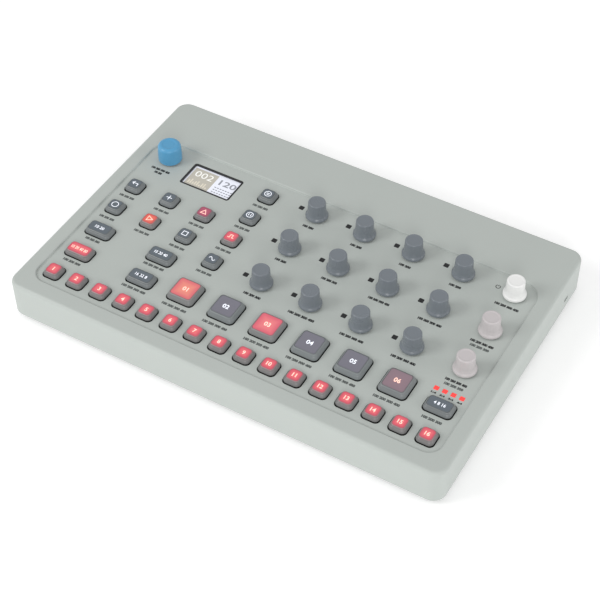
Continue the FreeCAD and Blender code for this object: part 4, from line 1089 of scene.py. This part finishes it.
@dataclass
class Display:
    """The display window with a black rim, a sunk lit face and plain figures on it.

    Attributes:
        panel: level of the control panel.
        left: left side of the window; right, front and rear are its other sides.
        rim: width of the black rim.
        sunk: how far the lit face lies below the panel.
        under: depth of the rim.
        block: left, right, front and rear side of the darker block on the face.
        film: thickness of what the face shows.
        figure_drop: from the block's rear side to the middle of the figures.
        bar_count: number of bars below the left figures, bar_pitch apart.
    """

    panel: float
    left: float = -97.14
    right: float = -63.38
    front: float = 27.02
    rear: float = 45.91
    corner: float = 1.5
    rim: float = 1.05
    sunk: float = 1.0
    under: float = 1.5
    block: Four = (-95.2, -79.1, 28.9, 43.6)
    film: float = 0.02
    figure_drop: float = 4.2
    bar_count: int = 9
    bar_pitch: float = 1.5

    def rim_shell(self) -> Shell:
        """Work out the black rim: a low frame whose section is a rectangle, closed on itself."""
        ring = SoftSquare.with_steps(1, 6)
        half_x, half_y = (self.right - self.left) / 2, (self.rear - self.front) / 2
        inset = np.array([0.0, 0.0, 0.15, self.rim, self.rim])
        height = np.array([-self.under, -0.15, 0.0, 0.0, -self.under])
        corner = np.array([self.corner, self.corner, self.corner, 0.6, 0.6])
        grid = ring.rings(half_x - inset, half_y - inset, corner, height)
        return Shell(grid.reshape(-1, 3), ring_faces(len(inset), grid.shape[1], loop=True))

    def build(self, finishes: Finishes) -> None:
        """Add the rim, the lit face and what it shows."""
        x, y = (self.left + self.right) / 2, (self.front + self.rear) / 2
        black = finishes.black.material()
        rim = self.rim_shell().placed(x, y, self.panel).piece("display_rim", CASE_BODY, black)
        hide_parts("panel_windows")
        width = self.right - self.left - 2 * self.rim
        depth = self.rear - self.front - 2 * self.rim
        low, high = -self.under, -self.sunk
        pale = DisplayFinish.material("display_pale", (0.66, 0.68, 0.75), 0.45)
        tan = DisplayFinish.material("display_tan", (0.40, 0.38, 0.33), 0.42)
        grey = DisplayFinish.material("display_grey", (0.25, 0.26, 0.29), 0.35)
        white = DisplayFinish.material("display_white", (0.74, 0.74, 0.71), 0.46)
        sand = DisplayFinish.material("display_sand", (0.55, 0.51, 0.42), 0.45)
        face = soft_block(width, depth, low, high, 0.6, 0.05).placed(x, y, self.panel)
        face.piece("display_face", CASE_BODY, pale)
        level = self.panel + high
        left, right, front, rear = self.block
        block = soft_block(right - left, rear - front, 0.0, 0.03, 0.3, 0.01)
        middle = (left + right) / 2
        block.placed(middle, (front + rear) / 2, level).piece("display_block", CASE_BODY, tan)
        line = rear - self.figure_drop
        number = digits("002", 4.8, self.film, 12.0, 0.0)
        number.placed(middle, line, level + 0.03).piece("display_figure_left", CASE_BODY, white)
        tempo = digits("120", 4.6, self.film, 11.2, 0.02)
        tempo.placed(right + 8.2, line, level).piece("display_figure_right", CASE_BODY, grey)
        bars = []
        for index in range(self.bar_count):
            tall = 1.0 + 3.0 * abs(math.sin(1.1 * index + 0.6))
            bar = soft_block(0.95, tall, 0.0, self.film, 0.1, 0.01)
            bars.append(bar.placed(left + 1.9 + self.bar_pitch * index, front + 1.3 + tall / 2, 0.0))
        joined(bars).placed(0, 0, level + 0.03).piece("display_levels", CASE_BODY, sand)
        cell = soft_block(1.25, 0.7, 0.0, self.film, 0.1, 0.01)
        places = [(2.6 + 1.8 * column, 1.5 + 2.0 * row) for row in range(3) for column in range(7)]
        steps = joined([cell.placed(right + x, front + y, 0.0) for x, y in places])
        steps.placed(0, 0, level).piece("display_steps", CASE_BODY, grey)
        LOG.info("built the display")


@dataclass
class Lamps:
    """Lamp windows beside the knobs and above the wide key at the right.

    Attributes:
        panel: level of the control panel.
        beside: from a knob's axis to its lamp.
        side: side of a knob lamp.
        page_first: place of the first page lamp.
        page_pitch: page lamp to page lamp.
        page_side: side of a page lamp.
    """

    panel: float
    beside: Two = (-11.35, 2.0)
    side: float = 3.05
    page_first: Two = (105.87, -38.42)
    page_pitch: float = 4.95
    page_side: float = 2.7
    page_count: int = 4
    tall: float = 2.5

    def build(self, finishes: Finishes, knobs: KnobField) -> None:
        """Add both groups of lamp windows."""
        dark = [(x + self.beside[0], y + self.beside[1])
                for x, y, _ in (centre_mm(node) for names in knobs.rows for node in names[:-1])]
        lit = [(self.page_first[0] + index * self.page_pitch, self.page_first[1])
               for index in range(self.page_count)]
        glow = LitSign("page_lamp_light", (0.9, 0.055, 0.05), 0.5).material()
        for name, places, side, top, finish in (
                ("knob_lamps", dark, self.side, 0.02, finishes.lamp_off.material()),
                ("page_lamps", lit, self.page_side, -0.02, glow)):
            window = soft_block(side, side, -self.tall, top, 0.45, 0.12)
            lamps = joined([window.placed(x, y, self.panel) for x, y in places])
            lamps.piece(name, CASE_BODY, finish)
        LOG.info("built the lamps")


@dataclass
class PanelPrint:
    """Plain figures and marks printed on the panel.

    Attributes:
        panel: level of the control panel.
        thick: thickness of the ink.
        tall: height of a figure.
        knob_widths: width of the line under each small knob, by row from the rear.
        under_knob: from a knob's axis to its line.
        scales: figures of a line, by the width it is made for.
        key_lines: from a key's middle to its line, and the line's width, by the key's name.
    """

    panel: float
    thick: float = 0.02
    tall: float = 1.9
    knob_widths: tuple[tuple[float, ...], ...] = ((6.9, 7.2, 7.2, 7.2, 14.2), (7.2, 9.8, 13.0, 14.2, 13.6),
                                                  (10.8, 16.3, 14.4, 14.6, 12.6))
    under_knob: Two = (-0.1, -9.96)
    scales: dict[float, str] = field(default_factory=lambda: {
        8.0: "100 200", 11.6: "100 200 300", 99.0: "100 200 300 400"})
    key_lines: dict[str, Two] = field(default_factory=lambda: {
        "function_key": (-7.8, 9.5), "retrig_key": (-7.9, 13.5), "pattern_key": (-8.1, 11.5),
        "track_key": (-8.1, 15.5), "page_key": (-8.9, 11.5)})

    def line(self, width: float, x: float, y: float) -> Shell:
        """Lay a row of plain figures."""
        text = next(figures for limit, figures in self.scales.items() if width < limit)
        return digits(text, self.tall, self.thick, width, 0.08).placed(x, y, self.panel)

    def build(self, finishes: Finishes, keys: KeyField, knobs: KnobField, lamps: Lamps) -> None:
        """Add all the print, dark and pale."""
        dark, pale = [], []
        for names, widths in zip(knobs.rows, self.knob_widths):
            for node, width in zip(names, widths):
                x, y, _ = centre_mm(node) + np.array([*self.under_knob, 0.0])
                dark.append(self.line(width, x, y))
        for node in ("reverb_size_knob", "delay_time_knob"):
            x, y, _ = centre_mm(node)
            pale.append(self.line(11.0, x, y - 13.1))
        x, y, _ = centre_mm("main_volume_knob")
        dark.append(Mark.POWER.drawn(1.25, 0.42, self.thick).placed(x - 10.5, y + 1.5, self.panel))
        x, y, _ = centre_mm("level_data_knob")
        dark += [self.line(12.6, x, y - 10.6), self.line(5.0, x, y - 13.4)]
        for node in keys.others:
            x, y, _ = centre_mm(node)
            down, width = self.key_lines.get(node, (-8.9, 10.0))
            pale.append(self.line(width, x, y + down))
        for number in range(1, len(keys.pads) + 1):
            x, y, _ = centre_mm(f"track_pad_{number}")
            pale.append(self.line(15.6, x, y - 12.0))
        for index in range(lamps.page_count):
            figure = digits(f"{index + 1}:{lamps.page_count}", 1.25, self.thick, 3.0, 0.06)
            x, y = lamps.page_first[0] + index * lamps.page_pitch, lamps.page_first[1] - 3.35
            dark.append(figure.placed(x, y, self.panel))
        joined(dark).piece("panel_print_dark", CASE_BODY, finishes.ink.material())
        joined(pale).piece("panel_print_pale", CASE_BODY, finishes.pale_ink.material())
        LOG.info("built the panel's print")


@dataclass
class Sockets:
    """Metal parts that show in the mouths of the rear sockets.

    Attributes:
        face: outer faces of the sockets.
        level: height of the socket axes.
        large: places of the 6.35 mm jacks.
        small: places of the 3.5 mm jacks.
    """

    face: float = 89.7
    level: float = 15.3
    large: tuple[float, ...] = (62.0, 84.0)
    small: tuple[float, ...] = (20.0, 38.0, 106.0)
    power: float = -86.0
    computer: float = -62.0

    def ring(self, inner: float, outer: float, deep: float, proud: float) -> Shell:
        """Turn a flanged ring whose axis is Z, open in the middle, its face at zero."""
        hole, seat = inner + 0.02, inner + 0.12
        outline = bent(hole, -deep, seat, -deep, seat, 0.02, outer, 0.02, outer, proud * 0.5,
                       outer - 0.2, proud, inner + 0.3, proud, hole, proud * 0.4)
        return turned(outline, 48, loop=True)

    def build(self, nickel: Material, steel: Material) -> None:
        """Add the rings of the jacks, the power pin and the shell of the flat socket."""
        lay = Matrix.Rotation(-math.pi / 2, 4, "X")
        shells = []
        for places, bore, nose in ((self.large, 3.2, 4.9), (self.small, 1.8, 3.3)):
            ring = self.ring(bore - 0.14, nose, 0.0, 0.22)
            shells += [ring.placed(x, self.face, self.level, lay) for x in places]
        joined(shells).piece("socket_rings", CASE_BODY, nickel)
        pin = eased([(0, -9.0, 0), (0.98, -9.0, 0), (0.98, -1.2, 0.5), (0, -1.2, 0)], 6)
        turned(pin + np.array([[0.03, 0.02]]), 24).placed(self.power, self.face, self.level, lay).piece(
            "power_pin", CASE_BODY, nickel)
        ring = SoftSquare.with_steps(1, 5)
        inset = np.array([0.0, 0.0, 0.1, 0.42, 0.42])
        height = np.array([0.02, 0.2, 0.27, 0.27, 0.02])
        grid = ring.rings(4.0 - inset, 1.6 - inset, np.maximum(0.75 - inset, 0.3), height)
        shell = Shell(grid.reshape(-1, 3), ring_faces(len(inset), grid.shape[1], loop=True))
        shell.placed(self.computer, self.face, self.level, lay).piece("flat_socket_shell", CASE_BODY, steel)
        LOG.info("built the socket trim")


@dataclass
class Case:
    """The construction parts that keep their own shape, with their finishes."""

    finishes: Finishes

    def build(self, steel: Material) -> None:
        """Put a material on every node that stays shown.

        Args:
            steel: material of the push shaft.
        """
        looks = {
            "top_case": self.finishes.case.material(),
            "base_cover": self.finishes.base.material(),
            "rubber_feet": self.finishes.rubber.material(),
            "screws": self.finishes.black_steel.material(),
            "circuit_boards": self.finishes.boards.material(),
            "level_data_shaft": steel,
        }
        for node, material in looks.items():
            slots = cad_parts[node].material_slots
            for slot in slots:
                slot.link = "OBJECT"
                slot.material = material
            LOG.info("dressed %s", node)


@dataclass
class Studio:
    """Floor, lights and camera.

    Attributes:
        target: point on the panel that the lens points at.
        distance: from that point to the lens.
        azimuth: how far round to the right the camera stands, in degrees.
        elevation: how high it stands, in degrees.
        roll: turn about the lens axis, in degrees.
        lens: focal length over a 36 mm sensor.
        backlight: light that comes through the floor from below.
        sky: strength of the even light from all round.
        lights: name, place, side and power of each soft light.
    """

    target: Three = (12.91, -19.9, 25.3)
    distance: float = 846.6
    azimuth: float = 30.636
    elevation: float = 47.102
    roll: float = -0.583
    lens: float = 92.65
    sensor: float = 36.0
    backlight: float = 0.26
    sky: float = 0.6
    lights: tuple[tuple[str, Three, float, float], ...] = (
        ("front_left_light", (-1.1, -1.0, 1.15), 0.8, 12.0),
        ("front_light", (0.8, -1.4, 0.95), 0.6, 7.0),
        ("right_light", (1.7, 0.3, 0.45), 1.2, 7.0),
    )

    def camera(self) -> None:
        """Add the camera at the photograph's place."""
        turn, rise = math.radians(self.azimuth), math.radians(self.elevation)
        back = Vector((math.sin(turn) * math.cos(rise), -math.cos(turn) * math.cos(rise), math.sin(rise)))
        data = bpy.data.cameras.new("camera")
        data.lens = self.lens
        data.sensor_width = self.sensor
        data.clip_start = 0.01
        data.clip_end = 20.0
        camera = bpy.data.objects.new("camera", data)
        place = (Vector(self.target) + back * self.distance) * MM
        level = back.to_track_quat("Z", "Y").to_matrix().to_4x4()
        roll = Matrix.Rotation(math.radians(self.roll), 4, "Z")
        camera.matrix_world = Matrix.Translation(place) @ level @ roll
        bpy.context.scene.collection.objects.link(camera)
        bpy.context.scene.camera = camera

    def area(self, name: str, place: Three, size: float, power: float) -> None:
        """Add a square soft light that faces the machine.

        Args:
            name: the light's name.
            place: where it hangs, in metres.
            size: its side in metres.
            power: its power in watts.
        """
        data = bpy.data.lights.new(name, "AREA")
        data.size = size
        data.energy = power
        light = bpy.data.objects.new(name, data)
        light.location = place
        light.rotation_euler = Vector(place).to_track_quat("Z", "Y").to_euler()
        bpy.context.scene.collection.objects.link(light)

    def floor(self) -> None:
        """Add the plain pale floor."""
        reach = 6.0
        mesh = bpy.data.meshes.new("floor")
        corners = [(-reach, -reach, 0), (reach, -reach, 0), (reach, reach, 0), (-reach, reach, 0)]
        mesh.from_pydata(corners, [], [(0, 1, 2, 3)])
        made = bpy.data.objects.new("floor", mesh)
        bpy.context.scene.collection.objects.link(made)
        paper = Plastic("floor_paper", (0.9, 0.9, 0.9), 0.9, drift=0.0, grain=200.0, depth=0.0).material()
        shader = paper.node_tree.nodes["Principled BSDF"]
        shader.inputs["Emission Color"].default_value = (1.0, 1.0, 1.0, 1.0)
        shader.inputs["Emission Strength"].default_value = self.backlight
        mesh.materials.append(paper)

    def build(self) -> None:
        """Add everything round the machine."""
        self.floor()
        for name, place, size, power in self.lights:
            self.area(name, place, size, power)
        world = bpy.data.worlds.new("studio")
        world.use_nodes = True
        world.node_tree.nodes["Background"].inputs["Color"].default_value = (1.0, 1.0, 1.0, 1.0)
        world.node_tree.nodes["Background"].inputs["Strength"].default_value = self.sky
        bpy.context.scene.world = world
        bpy.context.scene.view_settings.view_transform = "Standard"
        self.camera()
        LOG.info("built the studio")


def main() -> None:
    """Build the studio, dress the construction parts and add every piece."""
    logging.basicConfig(level=logging.INFO, format="%(name)s: %(message)s")
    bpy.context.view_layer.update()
    moulded_group()
    finishes = Finishes()
    steel, nickel = finishes.steel.material(), finishes.nickel.material()
    panel = box_mm("panel_windows")[1][2]
    keys, knobs = KeyField(panel), KnobField(panel)
    Studio().build()
    Case(finishes).build(steel)
    keys.build()
    knobs.build(finishes, steel)
    Display(panel).build(finishes)
    lamps = Lamps(panel)
    lamps.build(finishes, knobs)
    PanelPrint(panel).build(finishes, keys, knobs, lamps)
    Sockets().build(nickel, steel)


if __name__ == "__main__":
    main()
